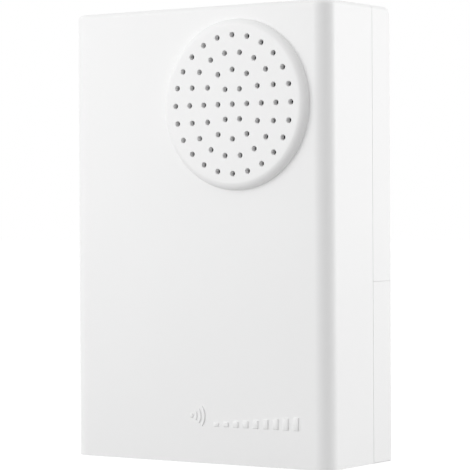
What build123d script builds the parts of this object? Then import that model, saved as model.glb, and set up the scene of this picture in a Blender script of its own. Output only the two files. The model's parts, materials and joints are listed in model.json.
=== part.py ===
"""A wall door chime: a moulded two-part case with a raised round speaker grille, a loudspeaker,
a sound board with screw terminals for the push's wires, and a bay for three cells behind a
cover that slides down.

Millimetres, +Z up. The case stands on z = 0 and is centred on X and Y, and its front faces -Y.
"""

import os
from math import pi, radians, tan

from build123d import *

# The outside of the case. Its width is what the cells' bay and the room at its sides need, and its
# height what the bay, the board, the hoods of the hanging slots and the room at the top need.
front_depth = 22.0
rear_depth = 10.0
side_room = 10.4
top_room = 6.8
upright_edge_radius = 4.3
edge_radius = 1.4
rear_top_radius = 2.2
seam_gap = 0.05

# Walls
front_wall = 2.0
side_wall = 2.0
base_wall = 1.8
rear_wall = 2.0
bulkhead = 2.0
tongue_thickness = 1.2
tongue_reach = 2.5
fit_gap = 0.15

# Raised grille over the loudspeaker, its holes on rings of one pitch
grille_inside_speaker = 0.2
grille_rise = 2.2
grille_edge_radius = 2.0
grille_wall = 1.7
recess_inside_rim = 0.3
hole_diameter = 1.45
hole_margin = 1.6
hole_rings = 4

# The four screws that close the case, their bosses and the wells that sink their heads
screw_share_of_side_room = 0.44
top_screw_from_top = 6.4
low_screw_height = 8.0
boss_radius = 3.4
boss_rib = 1.2
boss_below_seam = 2.7
case_screw_radius = 1.3
case_screw_length = 12.0
case_screw_head_radius = 2.6
case_screw_head = 1.8
pilot_gap = 0.05
shank_gap = 0.25
head_gap = 0.5
head_bevel_share = 1 / 3
recess_length_share = 1.2
recess_width_share = 0.285
recess_depth_share = 0.5
well_wall = 1.5
well_floor = 2.0

# Cells and their bay
cell_diameter = 14.5
cell_length = 50.5
cell_nub_radius = 2.75
cell_nub = 1.0
cell_bevel = 0.7
cell_spacing = 0.15
cell_to_floor = 0.2
cell_to_cover = 0.4
bay_slack = 0.78
bay_wall = 1.4
bay_base = 1.1
bay_side_reach = 5.4
cradle_thickness = 1.5
cradle_height = 4.6
cradle_spread = 28.0
contact_thickness = 0.3
contact_width = 9.6
contact_front = 2.2
contact_tail = 3.6
contact_tail_width = 3.0
contact_corner = 1.0
contact_below_bay_side = 1.0
dimple_radius = 2.0
dimple_height = 0.8
dimple_taper = 0.7
spring_length = 6.5
spring_wire_radius = 0.35
spring_base_radius = 3.8
spring_tip_radius = 2.4
spring_turns = 3.0
spring_wire_sides = 6
spring_sunk = 0.1
spring_end_gap = 0.1

# Sliding cover and its rails
slide_gap = 0.05
closing_gap = 0.02
rail_gap = 0.3
rail_thickness = 1.2
rail_reach = 1.6
rail_behind_seam = 1.6
guide_thickness = 1.2
guide_from_base = 13.0
guide_to_bulkhead = 1.6
tab_width = 12.0
tab_thickness = 0.9
tab_height = 3.0
tab_from_middle = 20.0
grip_width = 20.0
grip_height = 13.0
grip_depth = 0.8
grip_corner = 2.0
grip_margin = 2.0
grip_below_seam = 12.0
grip_ridges = 5
grip_ridge = 1.0
grip_ridge_corner = 0.45
grip_ridge_below_face = 0.15

# Hanging slots and the bell wire's way in
keyhole_spacing = 46.0
keyhole_radius = 4.0
keyhole_slot_radius = 2.1
keyhole_slot_rise = 8.0
hood_margin = 2.8
hood_depth = 5.0
hood_wall = 1.2
hood_lift = 0.6
board_to_hood = 0.95
wire_entry_radius = 4.0
wire_entry_share_of_board = 13 / 32
wire_entry_above_bulkhead = 6.7

# Loudspeaker: radii, and depths counted from the inside of the front wall
speaker_radius = 22.5
speaker_to_side = 5.3
speaker_to_top = 3.6
seat_gap = 0.3
seat_rim = 1.2
rim_width = 2.6
gasket_thickness = 0.6
edge_thickness = 0.3
basket_sheet = 0.8
basket_floor_depth = 9.0
basket_floor_radius = 13.0
basket_window_width = 8.6
basket_windows = 6
window_from_floor = 0.6
window_from_rim = 1.2
basket_bore_lip = 1.5
cone_sheet = 0.4
cone_front_depth = 0.8
cone_slope = 0.5
roll_width = 2.9
roll_height = 0.9
roll_slope = 0.7
former_radius = 6.3
former_sheet = 0.3
former_past_plate = 0.6
winding_thickness = 0.4
winding_length = 2.8
moving_gap = 0.05
spider_sheet = 0.25
spider_wave = 0.7
spider_margin = 1.2
spider_waves = 2
air_gap = 0.25
plate_thickness = 1.6
plate_radius = 11.5
magnet_radius = 12.5
magnet_bore_radius = 8.2
magnet_thickness = 5.0
yoke_thickness = 2.0
dust_cap_radius = 7.6
dust_cap_rise = 2.1
strip_width = 9.0
strip_reach = 6.0
strip_thickness = 0.8
strip_corner = 0.5
ear_overlap = 1.0
tag_spacing = 5.0
tag_width = 2.0
tag_margin = 0.5
tag_thickness = 0.4
tag_hole_radius = 0.5
tag_hole_from_middle = 1.4

# Ring that holds the loudspeaker down, and its screws
retainer_bosses = 3
retainer_first_angle = 30.0
retainer_boss_reach = 2.7
retainer_boss_radius = 2.6
retainer_boss_height = 5.0
retainer_thickness = 1.4
retainer_skirt = 1.8
small_screw_radius = 0.9
small_screw_length = 5.2
small_head_radius = 1.9
small_head = 1.3

# Sound board and what stands on it
board_height = 30.0
board_thickness = 1.6
board_from_side_wall = 2.0
board_to_speaker_leads = 2.6
board_above_wire_entry = 0.7
board_to_rear_wall = 12.1
board_screw_inset = 2.8
board_post_radius = 2.5
terminal_width = 10.2
terminal_depth = 8.0
terminal_height = 10.0
terminal_pitch = 5.08
terminal_from_edge = 0.5
terminal_mouth = 3.4
terminal_mouth_lift = 1.2
terminal_back_wall = 1.5
terminal_edge = 1.5
terminal_well_radius = 1.9
clamp_wall = 0.5
clamp_inset = 1.0
clamp_back_inset = 2.0
clamp_hole_radius = 1.0
terminal_screw_radius = 0.95
terminal_screw_length = 2.6
terminal_screw_head_radius = 1.6
terminal_screw_head = 1.6
terminal_screw_rise = 1.2
large_capacitor_radius = 4.0
small_capacitor_radius = 3.15
capacitor_height = 11.0
capacitor_bevel = 0.5
sound_chip_radius = 4.5
sound_chip_height = 1.5
sound_chip_shoulder = (0.72, 0.62)
amplifier_length = 9.6
amplifier_width = 6.4
amplifier_height = 3.3
amplifier_lift = 0.6
amplifier_bevel = 0.4
pin_pitch = 2.54
pin_row_spacing = 7.12
pins_in_row = 4
pin_width = 0.6
transistor_radius = 2.3
transistor_height = 4.6
transistor_flat = 0.7
resistor_radius = 0.85
resistor_length = 6.0
resistor_count = 5
resistor_wire_reach = 1.0
disc_radius = 2.2
disc_thickness = 1.3
leg_width = 0.5
leg_height = 2.0

# Places on the board, as shares of its width and height from its lower left corner seen from the front
capacitor_places = ((0.30, 0.75), (0.155, 0.40))
sound_chip_place = (0.84, 0.46)
amplifier_place = (0.64, 0.80)
transistor_places = ((0.70, 0.11), (0.70, 0.26))
first_resistor_place = (0.52, 0.35)
resistor_step = 0.065
disc_places = ((0.10, 0.235), (0.10, 0.575))
speaker_pads = ((0.97, 0.72), (0.97, 0.63))
battery_red_pad = (0.75, 0.167)
battery_black_pad = (0.267, 0.20)

# Leads
lead_radius = 0.45
lead_inside_tag = 0.4
red_turn_behind_board = 8.2
black_turn_behind_board = 6.2
lead_before_board = 8.0
lead_settle = 1.3
lead_sway = 0.8
lead_below_seam = 1.3
tail_joint = 1.4
tail_rise = 8.0
bend_share_of_run = 0.45

# The red battery lead's bends, each as shares of its way across and up to the board, and of its settling
red_lead_bends = ((0.16, 0.40, 1.0), (0.63, 0.52, 0.5), (0.88, 0.73, 0.0))

# Planes and levels worked out from the above
case_depth = grille_rise + front_depth + rear_depth
y_grille = -case_depth / 2
y_front = y_grille + grille_rise
y_inner = y_front + front_wall
y_seam = y_front + front_depth
y_rear = y_seam + rear_depth
y_rear_inner = y_rear - rear_wall
y_boss = y_seam - boss_below_seam

cell_radius = cell_diameter / 2
y_cell = y_rear_inner - cell_to_cover - cell_radius
y_bay_floor = y_cell - cell_radius - cell_to_floor
z_bay_base = base_wall + fit_gap
z_cells = [
    z_bay_base + bay_base + cell_radius + k * (cell_diameter + cell_spacing) for k in range(3)
]
z_seam = z_cells[-1] + cell_radius + bay_slack
z_bulkhead = z_seam + closing_gap
z_room = z_bulkhead + bulkhead
bay_half = (cell_length + spring_length + dimple_height + 2 * contact_thickness) / 2
y_bay_side = y_seam + bay_side_reach

half_width = bay_half + bay_wall + side_room
case_width = 2 * half_width
tray_half = half_width - side_wall - fit_gap

wire_entry_z = z_room + wire_entry_above_bulkhead
board_base = wire_entry_z + wire_entry_radius + board_above_wire_entry
board_z = board_base + board_height / 2
y_board_rear = y_rear_inner - board_to_rear_wall
y_board_front = y_board_rear - board_thickness

hood_width = 2 * (keyhole_radius + hood_margin + hood_wall)
hood_height = keyhole_slot_rise + 2 * (keyhole_radius + hood_wall) + hood_margin
hood_z = board_base + board_height + board_to_hood + hood_height / 2
keyhole_x = keyhole_spacing / 2
keyhole_z = hood_z - hood_lift - keyhole_slot_rise / 2
hood_places = [(x, hood_z) for x in (-keyhole_x, keyhole_x)]
tab_places = [(x, y_rear_inner + tab_thickness / 2) for x in (-tab_from_middle, tab_from_middle)]
case_height = hood_z + hood_height / 2 + top_room

rim_inner_radius = speaker_radius - rim_width
cone_outer_radius = rim_inner_radius - roll_width
clamp_depth = gasket_thickness + edge_thickness + basket_sheet
retainer_boss_circle = speaker_radius + retainer_boss_reach
grille_x = half_width - speaker_to_side - speaker_radius
grille_z = case_height - speaker_to_top - speaker_radius
grille_radius = speaker_radius - grille_inside_speaker
grille_recess_radius = rim_inner_radius - recess_inside_rim
hole_pitch = (grille_recess_radius - hole_margin) / hole_rings
strip_x = grille_x - basket_floor_radius - strip_reach / 2

# The board reaches from the left wall to the way down of the speaker's leads
tag_end_x = strip_x + lead_inside_tag
board_left = -(half_width - side_wall - board_from_side_wall)
board_right = tag_end_x - board_to_speaker_leads
board_width = board_right - board_left
board_x = (board_left + board_right) / 2
board_screw_spread_x = board_width - 2 * board_screw_inset
board_screw_spread_z = board_height - 2 * board_screw_inset
wire_entry_x = board_left + wire_entry_share_of_board * board_width

case_screw_x = bay_half + bay_wall + screw_share_of_side_room * side_room
case_screw_places = [
    (side * case_screw_x, z)
    for side in (-1, 1)
    for z in (low_screw_height, case_height - top_screw_from_top)
]


def across(y):
    """The upright plane at depth y: sketch x runs along X and sketch y up Z, and it faces the front."""
    return Plane.XZ.offset(-y)


# The plane that cuts the loudspeaker through its axis: sketch x is the radius, sketch y the depth
# behind the front wall.
speaker_cut = Plane(origin=(grille_x, y_inner, grille_z), x_dir=(1, 0, 0), z_dir=(0, 0, 1))
speaker_axis = Axis((grille_x, y_inner, grille_z), (0, 1, 0))

os.makedirs("parts", exist_ok=True)


def keep(piece, name):
    """Label a finished piece and write it under its own name."""
    piece.label = name
    export_step(piece, f"parts/{name}.step")


def edges_at(part, axis, value):
    """The edges of a part that lie wholly at one value along an axis."""
    near = 0.01
    return part.edges().filter_by_position(axis, value - near, value + near)


# Front cover: a deep tray open to the rear, with the grille standing out of its face
with BuildPart() as front_cover:
    with BuildSketch(across(y_front)):
        with Locations((0, case_height / 2)):
            Rectangle(case_width, case_height)
    extrude(amount=-front_depth)
    fillet(edges_at(front_cover, Axis.Y, y_front).filter_by(Axis.Z), upright_edge_radius)
    top_outline = front_cover.faces().sort_by(Axis.Z)[-1].edges().sort_by(Axis.Y)
    fillet(top_outline[:-1], edge_radius)

    with BuildSketch(across(y_inner)):
        with Locations((0, (base_wall + case_height - side_wall) / 2)):
            Rectangle(case_width - 2 * side_wall, case_height - side_wall - base_wall)
    extrude(amount=-(front_depth - front_wall), mode=Mode.SUBTRACT)
    fillet(
        edges_at(front_cover, Axis.Y, y_inner).filter_by(Axis.Z),
        upright_edge_radius - side_wall,
    )

    with BuildSketch(across(y_front)):
        with Locations((grille_x, grille_z)):
            Circle(grille_radius)
    extrude(amount=grille_rise)
    fillet(edges_at(front_cover, Axis.Y, y_grille), grille_edge_radius)
    with BuildSketch(across(y_inner)):
        with Locations((grille_x, grille_z)):
            Circle(grille_recess_radius)
    extrude(amount=front_wall + grille_rise - grille_wall, mode=Mode.SUBTRACT)

    with BuildSketch(across(y_grille)):
        with Locations((grille_x, grille_z)):
            Circle(hole_diameter / 2)
            for ring in range(1, hole_rings + 1):
                with PolarLocations(ring * hole_pitch, 6 * ring):
                    Circle(hole_diameter / 2)
    extrude(amount=-grille_wall, mode=Mode.SUBTRACT)

    # A rim that the loudspeaker sits in, and the bosses of its screws
    with BuildSketch(across(y_inner)):
        with Locations((grille_x, grille_z)):
            Circle(speaker_radius + seat_gap + seat_rim)
            Circle(speaker_radius + seat_gap, mode=Mode.SUBTRACT)
    extrude(amount=-clamp_depth)
    with BuildSketch(across(y_inner)):
        with Locations((grille_x, grille_z)):
            with PolarLocations(
                retainer_boss_circle, retainer_bosses, start_angle=retainer_first_angle
            ):
                Circle(retainer_boss_radius)
            Circle(speaker_radius + seat_gap, mode=Mode.SUBTRACT)
    extrude(amount=-retainer_boss_height)
    with BuildSketch(across(y_inner + retainer_boss_height)):
        with Locations((grille_x, grille_z)):
            with PolarLocations(
                retainer_boss_circle, retainer_bosses, start_angle=retainer_first_angle
            ):
                Circle(small_screw_radius + pilot_gap)
    extrude(amount=small_screw_length - retainer_thickness + head_gap, mode=Mode.SUBTRACT)

    # Bosses of the case screws, each tied to the two walls beside it
    with BuildSketch(across(y_inner)):
        with Locations(*case_screw_places):
            Circle(boss_radius)
        for x, z in case_screw_places:
            to_side = half_width - side_wall / 2 - abs(x)
            low = z < z_room
            to_end = z - base_wall / 2 if low else case_height - side_wall / 2 - z
            side_way = 1 if x > 0 else -1
            end_way = -1 if low else 1
            with Locations((x + side_way * to_side / 2, z)):
                Rectangle(to_side, boss_rib)
            with Locations((x, z + end_way * to_end / 2)):
                Rectangle(boss_rib, to_end)
    extrude(amount=-(y_boss - y_inner))
    with BuildSketch(across(y_boss)):
        with Locations(*case_screw_places):
            Circle(case_screw_radius + pilot_gap)
    extrude(amount=case_screw_length, mode=Mode.SUBTRACT)

keep(front_cover.part, "front_cover")


# Rear cover: the shell of the upper part, with the battery tray reaching down inside the front cover
with BuildPart() as rear_cover:
    with BuildSketch(across(y_seam + seam_gap)):
        with Locations((0, (z_bulkhead + case_height) / 2)):
            Rectangle(case_width, case_height - z_bulkhead)
    extrude(amount=-(rear_depth - seam_gap))
    top_edges = edges_at(rear_cover, Axis.Z, case_height)
    fillet(top_edges.filter_by(Axis.X).sort_by(Axis.Y)[-1], rear_top_radius)
    for x in (-half_width, half_width):
        side_outline = edges_at(rear_cover, Axis.X, x)
        top_and_rear = side_outline.sort_by(Axis.Y)[1:].sort_by(Axis.Z)[1:]
        fillet(top_and_rear, edge_radius)
    with BuildSketch(across(y_seam + seam_gap)):
        with Locations((0, (z_room + case_height - side_wall) / 2)):
            Rectangle(case_width - 2 * side_wall, case_height - side_wall - z_room)
    extrude(amount=-(rear_depth - seam_gap - rear_wall), mode=Mode.SUBTRACT)

    # Tongue round the upper opening, which slips inside the front cover
    tongue_height = case_height - side_wall - fit_gap - z_room
    tongue_middle = z_room + tongue_height / 2
    with BuildSketch(across(y_seam - tongue_reach)):
        with Locations((0, tongue_middle)):
            Rectangle(2 * tray_half, tongue_height)
        with Locations((0, tongue_middle - tongue_thickness / 2)):
            Rectangle(
                2 * (tray_half - tongue_thickness),
                tongue_height - tongue_thickness,
                mode=Mode.SUBTRACT,
            )
    extrude(amount=-tongue_reach - seam_gap)
    with BuildSketch(across(y_seam + seam_gap)):
        with Locations((0, (z_room + case_height - side_wall) / 2)):
            Rectangle(case_width - 2 * side_wall, case_height - side_wall - z_room)
        with Locations((0, tongue_middle - tongue_thickness / 2)):
            Rectangle(
                2 * (tray_half - tongue_thickness),
                tongue_height - tongue_thickness,
                mode=Mode.SUBTRACT,
            )
    extrude(amount=-tongue_reach)

    # Tray plate, bulkhead above it and the trough for the cells
    with BuildSketch(across(y_boss)):
        with Locations((0, (z_bay_base + z_room) / 2)):
            Rectangle(2 * tray_half, z_room - z_bay_base)
    extrude(amount=-well_floor)
    with BuildSketch(across(y_boss)):
        with Locations((0, (z_bulkhead + z_room) / 2)):
            Rectangle(2 * tray_half, bulkhead)
    extrude(amount=-(y_seam + seam_gap - y_boss))
    with BuildSketch(across(y_bay_floor - bay_wall)):
        with Locations((0, (z_bay_base + z_room) / 2)):
            Rectangle(2 * (bay_half + bay_wall), z_room - z_bay_base)
    extrude(amount=-(y_boss - y_bay_floor + bay_wall))
    with BuildSketch(across(y_boss)):
        with Locations((0, (z_bay_base + z_bulkhead) / 2)):
            Rectangle(2 * (bay_half + bay_wall), z_bulkhead - z_bay_base)
    extrude(amount=-(y_bay_side - y_boss))
    with BuildSketch(across(y_bay_floor)):
        with Locations((0, (z_bay_base + bay_base + z_bulkhead) / 2)):
            Rectangle(2 * bay_half, z_bulkhead - z_bay_base - bay_base)
    extrude(amount=-(y_bay_side - y_bay_floor), mode=Mode.SUBTRACT)

    # Cradle ribs, hollowed to the cells
    cradle_half = cradle_spread / 2
    for x in (-cradle_half, cradle_half):
        with BuildSketch(Plane.YZ.offset(x - cradle_thickness / 2)):
            with Locations((y_bay_floor + cradle_height / 2, (z_bay_base + z_room) / 2)):
                Rectangle(cradle_height, z_room - z_bay_base)
            with Locations(*[(y_cell, z) for z in z_cells]):
                Circle(cell_radius + cell_to_floor / 2, mode=Mode.SUBTRACT)
        extrude(amount=cradle_thickness)

    # Guides that the sliding cover's rails run behind
    guide_height = z_bulkhead - guide_to_bulkhead - guide_from_base
    y_flange = y_seam + rail_behind_seam + rail_thickness + rail_gap
    guide_x = half_width - side_wall - rail_reach - rail_gap - guide_thickness / 2
    for side in (-1, 1):
        with BuildSketch(Plane.XY.offset(guide_from_base)):
            with Locations((side * guide_x, (y_boss + y_flange + guide_thickness) / 2)):
                Rectangle(guide_thickness, y_flange + guide_thickness - y_boss)
            flange_reach = half_width - side_wall - rail_gap - guide_x
            with Locations(
                (side * (guide_x + flange_reach / 2), y_flange + guide_thickness / 2)
            ):
                Rectangle(flange_reach, guide_thickness)
        extrude(amount=guide_height)

    # Hoods behind the hanging slots, wells for the top case screws and the board's posts
    with BuildSketch(across(y_rear_inner - hood_depth - hood_wall)):
        with Locations(*hood_places):
            Rectangle(hood_width, hood_height)
    extrude(amount=-(hood_depth + hood_wall))
    top_screw_places = [p for p in case_screw_places if p[1] > z_room]
    with BuildSketch(across(y_boss)):
        with Locations(*top_screw_places):
            Circle(case_screw_head_radius + head_gap + well_wall)
        with Locations((0, tongue_middle)):
            Rectangle(2 * tray_half, tongue_height, mode=Mode.INTERSECT)
    extrude(amount=-(y_rear_inner - y_boss))
    with BuildSketch(across(y_board_rear)):
        with Locations((board_x, board_z)):
            with GridLocations(board_screw_spread_x, board_screw_spread_z, 2, 2):
                Circle(board_post_radius)
    extrude(amount=-board_to_rear_wall)

    # What is cut out of it
    with BuildSketch(across(y_rear_inner - hood_depth)):
        with Locations(*hood_places):
            Rectangle(hood_width - 2 * hood_wall, hood_height - 2 * hood_wall)
    extrude(amount=-hood_depth, mode=Mode.SUBTRACT)
    with BuildSketch(across(y_rear_inner)):
        for x in (-keyhole_x, keyhole_x):
            with Locations((x, keyhole_z)):
                Circle(keyhole_radius)
            with Locations((x, keyhole_z + keyhole_slot_rise / 2)):
                Rectangle(2 * keyhole_slot_radius, keyhole_slot_rise)
            with Locations((x, keyhole_z + keyhole_slot_rise)):
                Circle(keyhole_slot_radius)
        with Locations((wire_entry_x, wire_entry_z)):
            Circle(wire_entry_radius)
    extrude(amount=-rear_wall, mode=Mode.SUBTRACT)
    with BuildSketch(across(y_boss + well_floor)):
        with Locations(*top_screw_places):
            Circle(case_screw_head_radius + head_gap)
    extrude(amount=-(y_rear - y_boss - well_floor), mode=Mode.SUBTRACT)
    with BuildSketch(across(y_boss)):
        with Locations(*case_screw_places):
            Circle(case_screw_radius + shank_gap)
    extrude(amount=-well_floor, mode=Mode.SUBTRACT)
    with BuildSketch(across(y_board_rear)):
        with Locations((board_x, board_z)):
            with GridLocations(board_screw_spread_x, board_screw_spread_z, 2, 2):
                Circle(small_screw_radius + pilot_gap)
    extrude(amount=-small_screw_length, mode=Mode.SUBTRACT)

    # Slots for the sliding cover's tabs, and slits for the contacts' tails
    with BuildSketch(Plane.XY.offset(z_bulkhead)):
        with Locations(*tab_places):
            Rectangle(tab_width + 2 * rail_gap, tab_thickness + 2 * fit_gap)
    extrude(amount=tab_height + rail_gap, mode=Mode.SUBTRACT)
    with BuildSketch(across(y_bay_floor - bay_wall)):
        for side, z in ((-1, z_cells[0]), (1, z_cells[2])):
            with Locations((side * (bay_half - contact_thickness / 2), z)):
                Rectangle(contact_thickness + fit_gap, contact_tail_width + 2 * fit_gap)
    extrude(amount=-bay_wall, mode=Mode.SUBTRACT)

keep(rear_cover.part, "rear_cover")


# Battery cover: the lower rear shell, which slides down off its guides
with BuildPart() as battery_cover:
    y_cover = y_seam + slide_gap
    z_cover = z_seam - closing_gap
    with BuildSketch(across(y_cover)):
        with Locations((0, z_cover / 2)):
            Rectangle(case_width, z_cover)
    extrude(amount=-(y_rear - y_cover))
    fillet(edges_at(battery_cover, Axis.Y, y_rear).filter_by(Axis.Z), edge_radius)
    with BuildSketch(across(y_cover)):
        with Locations((0, (base_wall + z_cover) / 2)):
            Rectangle(case_width - 2 * side_wall, z_cover - base_wall)
    extrude(amount=-(y_rear_inner - y_cover), mode=Mode.SUBTRACT)
    with BuildSketch(Plane.XY.offset(z_cover)):
        with Locations(*tab_places):
            Rectangle(tab_width, tab_thickness)
    extrude(amount=tab_height)
    rail_from_base = guide_from_base + rail_gap
    with BuildSketch(Plane.XY.offset(rail_from_base)):
        for side in (-1, 1):
            with Locations(
                (
                    side * (half_width - side_wall - rail_reach / 2),
                    y_seam + rail_behind_seam + rail_thickness / 2,
                )
            ):
                Rectangle(rail_reach, rail_thickness)
    extrude(amount=guide_height - 2 * rail_gap)
    grip_z = z_seam - grip_below_seam
    with BuildSketch(across(y_rear)):
        with Locations((0, grip_z)):
            RectangleRounded(grip_width, grip_height, radius=grip_corner)
    extrude(amount=grip_depth, mode=Mode.SUBTRACT)
    ridge_pitch = grip_height / (grip_ridges + 1)
    with BuildSketch(across(y_rear - grip_ridge_below_face)):
        with Locations((0, grip_z)):
            with GridLocations(1, ridge_pitch, 1, grip_ridges):
                RectangleRounded(
                    grip_width - 2 * grip_margin, grip_ridge, radius=grip_ridge_corner
                )
    extrude(amount=grip_depth - grip_ridge_below_face)

keep(battery_cover.part, "battery_cover")


def screw(place, shank_radius, length, head_radius, head_height):
    """A pan-head screw: place is the plane under its head, with z towards the head."""
    recess_length = recess_length_share * head_radius
    recess_width = recess_width_share * head_radius
    with BuildPart(place) as piece:
        Cylinder(
            shank_radius, length, align=(Align.CENTER, Align.CENTER, Align.MAX)
        )
        Cylinder(
            head_radius, head_height, align=(Align.CENTER, Align.CENTER, Align.MIN)
        )
        widest = piece.edges().filter_by(GeomType.CIRCLE).sort_by(SortBy.RADIUS)[-2:]
        top = max(widest, key=lambda edge: (edge.center() - place.origin).dot(place.z_dir))
        chamfer(top, head_bevel_share * head_height)
        with BuildSketch(place.offset(head_height)):
            Rectangle(recess_length, recess_width)
            Rectangle(recess_width, recess_length)
        extrude(amount=-recess_depth_share * head_height, mode=Mode.SUBTRACT)
    return piece.part


rearward = (0, 1, 0)
frontward = (0, -1, 0)

# The case screws: four, from the rear
case_screws = [
    screw(
        Plane(origin=(x, y_boss + well_floor, z), x_dir=(1, 0, 0), z_dir=rearward),
        case_screw_radius,
        case_screw_length,
        case_screw_head_radius,
        case_screw_head,
    )
    for x, z in case_screw_places
]
keep(Compound(children=case_screws), "case_screws")


def turned(name, profile):
    """A piece of the loudspeaker, turned about its axis from outlines of (radius, depth) points."""
    with BuildPart() as piece:
        with BuildSketch(speaker_cut):
            for outline in profile:
                with BuildLine():
                    Polyline(*outline, close=True)
                make_face()
        revolve(axis=speaker_axis)
    keep(piece.part, name)
    return piece


def ring(inner, outer, front, back):
    """The outline of a flat ring between two radii and two depths."""
    return [(inner, front), (outer, front), (outer, back), (inner, back)]


edge_depth = gasket_thickness
rim_depth = edge_depth + edge_thickness
plate_depth = basket_floor_depth + basket_sheet
magnet_depth = plate_depth + plate_thickness
yoke_depth = magnet_depth + magnet_thickness
former_outer = former_radius + former_sheet
winding_outer = former_outer + winding_thickness
pole_radius = former_radius - air_gap
cone_neck_depth = cone_front_depth + cone_slope * (cone_outer_radius - former_outer)

turned("speaker_gasket", [ring(rim_inner_radius, speaker_radius, 0, gasket_thickness)])
turned(
    "speaker_magnet", [ring(magnet_bore_radius, magnet_radius, magnet_depth, yoke_depth)]
)
turned(
    "speaker_top_plate",
    [ring(winding_outer + air_gap, plate_radius, plate_depth, magnet_depth)],
)
turned(
    "speaker_yoke",
    [
        [
            (0, plate_depth),
            (pole_radius, plate_depth),
            (pole_radius, yoke_depth),
            (plate_radius, yoke_depth),
            (plate_radius, yoke_depth + yoke_thickness),
            (0, yoke_depth + yoke_thickness),
        ]
    ],
)
turned(
    "speaker_cone",
    [
        [
            (cone_outer_radius, cone_front_depth),
            (cone_outer_radius, cone_front_depth + cone_sheet),
            (former_outer, cone_neck_depth + cone_sheet),
            (former_outer, cone_neck_depth),
        ]
    ],
)
former_back = plate_depth + plate_thickness + former_past_plate
turned(
    "voice_coil_former",
    [ring(former_radius, former_outer, cone_neck_depth - cone_sheet, former_back)],
)
winding_front = plate_depth + plate_thickness / 2 - winding_length / 2
turned(
    "voice_coil_winding",
    [ring(former_outer, winding_outer, winding_front, winding_front + winding_length)],
)

# Dust cap: a shallow paper dome standing on the cone
with BuildPart() as dust_cap:
    foot_depth = cone_front_depth + cone_slope * (cone_outer_radius - dust_cap_radius) - moving_gap
    with BuildSketch(speaker_cut):
        with BuildLine():
            outer_arc = ThreePointArc(
                (-dust_cap_radius, foot_depth),
                (0, foot_depth - dust_cap_rise),
                (dust_cap_radius, foot_depth),
            )
            Line(outer_arc @ 1, outer_arc @ 1 - (cone_sheet, 0))
            inner_arc = ThreePointArc(
                (dust_cap_radius - cone_sheet, foot_depth),
                (0, foot_depth - dust_cap_rise + cone_sheet),
                (-dust_cap_radius + cone_sheet, foot_depth),
            )
            Line(inner_arc @ 1, outer_arc @ 0)
        make_face()
        with Locations((-dust_cap_radius, foot_depth)):
            Rectangle(2 * dust_cap_radius, 4 * dust_cap_rise, mode=Mode.SUBTRACT)
    revolve(axis=speaker_axis)
keep(dust_cap.part, "dust_cap")

# Edge: the raised rubber roll between the cone and the basket's rim
roll_inner = cone_outer_radius + moving_gap
roll_top = rim_depth - roll_height
turned(
    "speaker_edge",
    [
        [
            (roll_inner, rim_depth),
            (roll_inner + roll_slope, roll_top),
            (rim_inner_radius - roll_slope, roll_top),
            (rim_inner_radius, edge_depth),
            (speaker_radius, edge_depth),
            (speaker_radius, rim_depth),
            (rim_inner_radius - edge_thickness, rim_depth),
            (rim_inner_radius - roll_slope - edge_thickness, roll_top + edge_thickness),
            (roll_inner + roll_slope + edge_thickness, roll_top + edge_thickness),
            (roll_inner + edge_thickness, rim_depth),
        ]
    ],
)

# Spider: a corrugated cloth ring that centres the coil, its outer margin lying on the basket's floor
spider_inner = former_outer + moving_gap
spider_rest = basket_floor_depth - spider_sheet
spider_outer = basket_floor_radius - basket_sheet
slopes = 2 * spider_waves - 1
slope_width = (spider_outer - spider_margin - spider_inner) / slopes
crests = [
    (spider_inner + k * slope_width, spider_rest - spider_wave * (1 - k % 2))
    for k in range(slopes + 1)
]
turned(
    "speaker_spider",
    [
        [
            *crests,
            (spider_outer, spider_rest),
            (spider_outer, basket_floor_depth),
            *[(radius, depth + spider_sheet) for radius, depth in reversed(crests)],
        ]
    ],
)

# Basket: pressed sheet, with windows between its spokes and an ear for the terminal strip
floor_back = basket_floor_depth + basket_sheet
basket_bore = winding_outer + basket_bore_lip
with BuildPart() as speaker_basket:
    with BuildSketch(speaker_cut):
        with BuildLine():
            Polyline(
                (rim_inner_radius, rim_depth),
                (speaker_radius, rim_depth),
                (speaker_radius, clamp_depth),
                (rim_inner_radius, clamp_depth),
                (basket_floor_radius, floor_back),
                (basket_bore, floor_back),
                (basket_bore, basket_floor_depth),
                (basket_floor_radius - basket_sheet, basket_floor_depth),
                (rim_inner_radius - basket_sheet, rim_depth),
                close=True,
            )
        make_face()
    revolve(axis=speaker_axis)
    window_inner = basket_floor_radius + window_from_floor
    window_outer = rim_inner_radius - window_from_rim
    with BuildSketch(across(y_inner + clamp_depth)):
        with Locations((grille_x, grille_z)):
            with PolarLocations(
                (window_inner + window_outer) / 2, basket_windows, start_angle=180 / basket_windows
            ):
                Rectangle(window_outer - window_inner, basket_window_width)
    extrude(amount=-(basket_floor_depth - clamp_depth), mode=Mode.SUBTRACT)
    ear_outer = basket_floor_radius + strip_reach
    with BuildSketch(across(y_inner + basket_floor_depth)):
        with Locations((grille_x - (basket_floor_radius - ear_overlap + ear_outer) / 2, grille_z)):
            Rectangle(ear_outer - basket_floor_radius + ear_overlap, strip_width)
    extrude(amount=-basket_sheet)
keep(speaker_basket.part, "speaker_basket")

# Terminal strip and its two tags, on the basket's ear
y_strip = y_inner + floor_back
with BuildPart() as speaker_terminal_strip:
    with BuildSketch(across(y_strip)):
        with Locations((strip_x, grille_z)):
            RectangleRounded(strip_reach, strip_width, radius=strip_corner)
    extrude(amount=-strip_thickness)
keep(speaker_terminal_strip.part, "speaker_terminal_strip")

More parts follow.
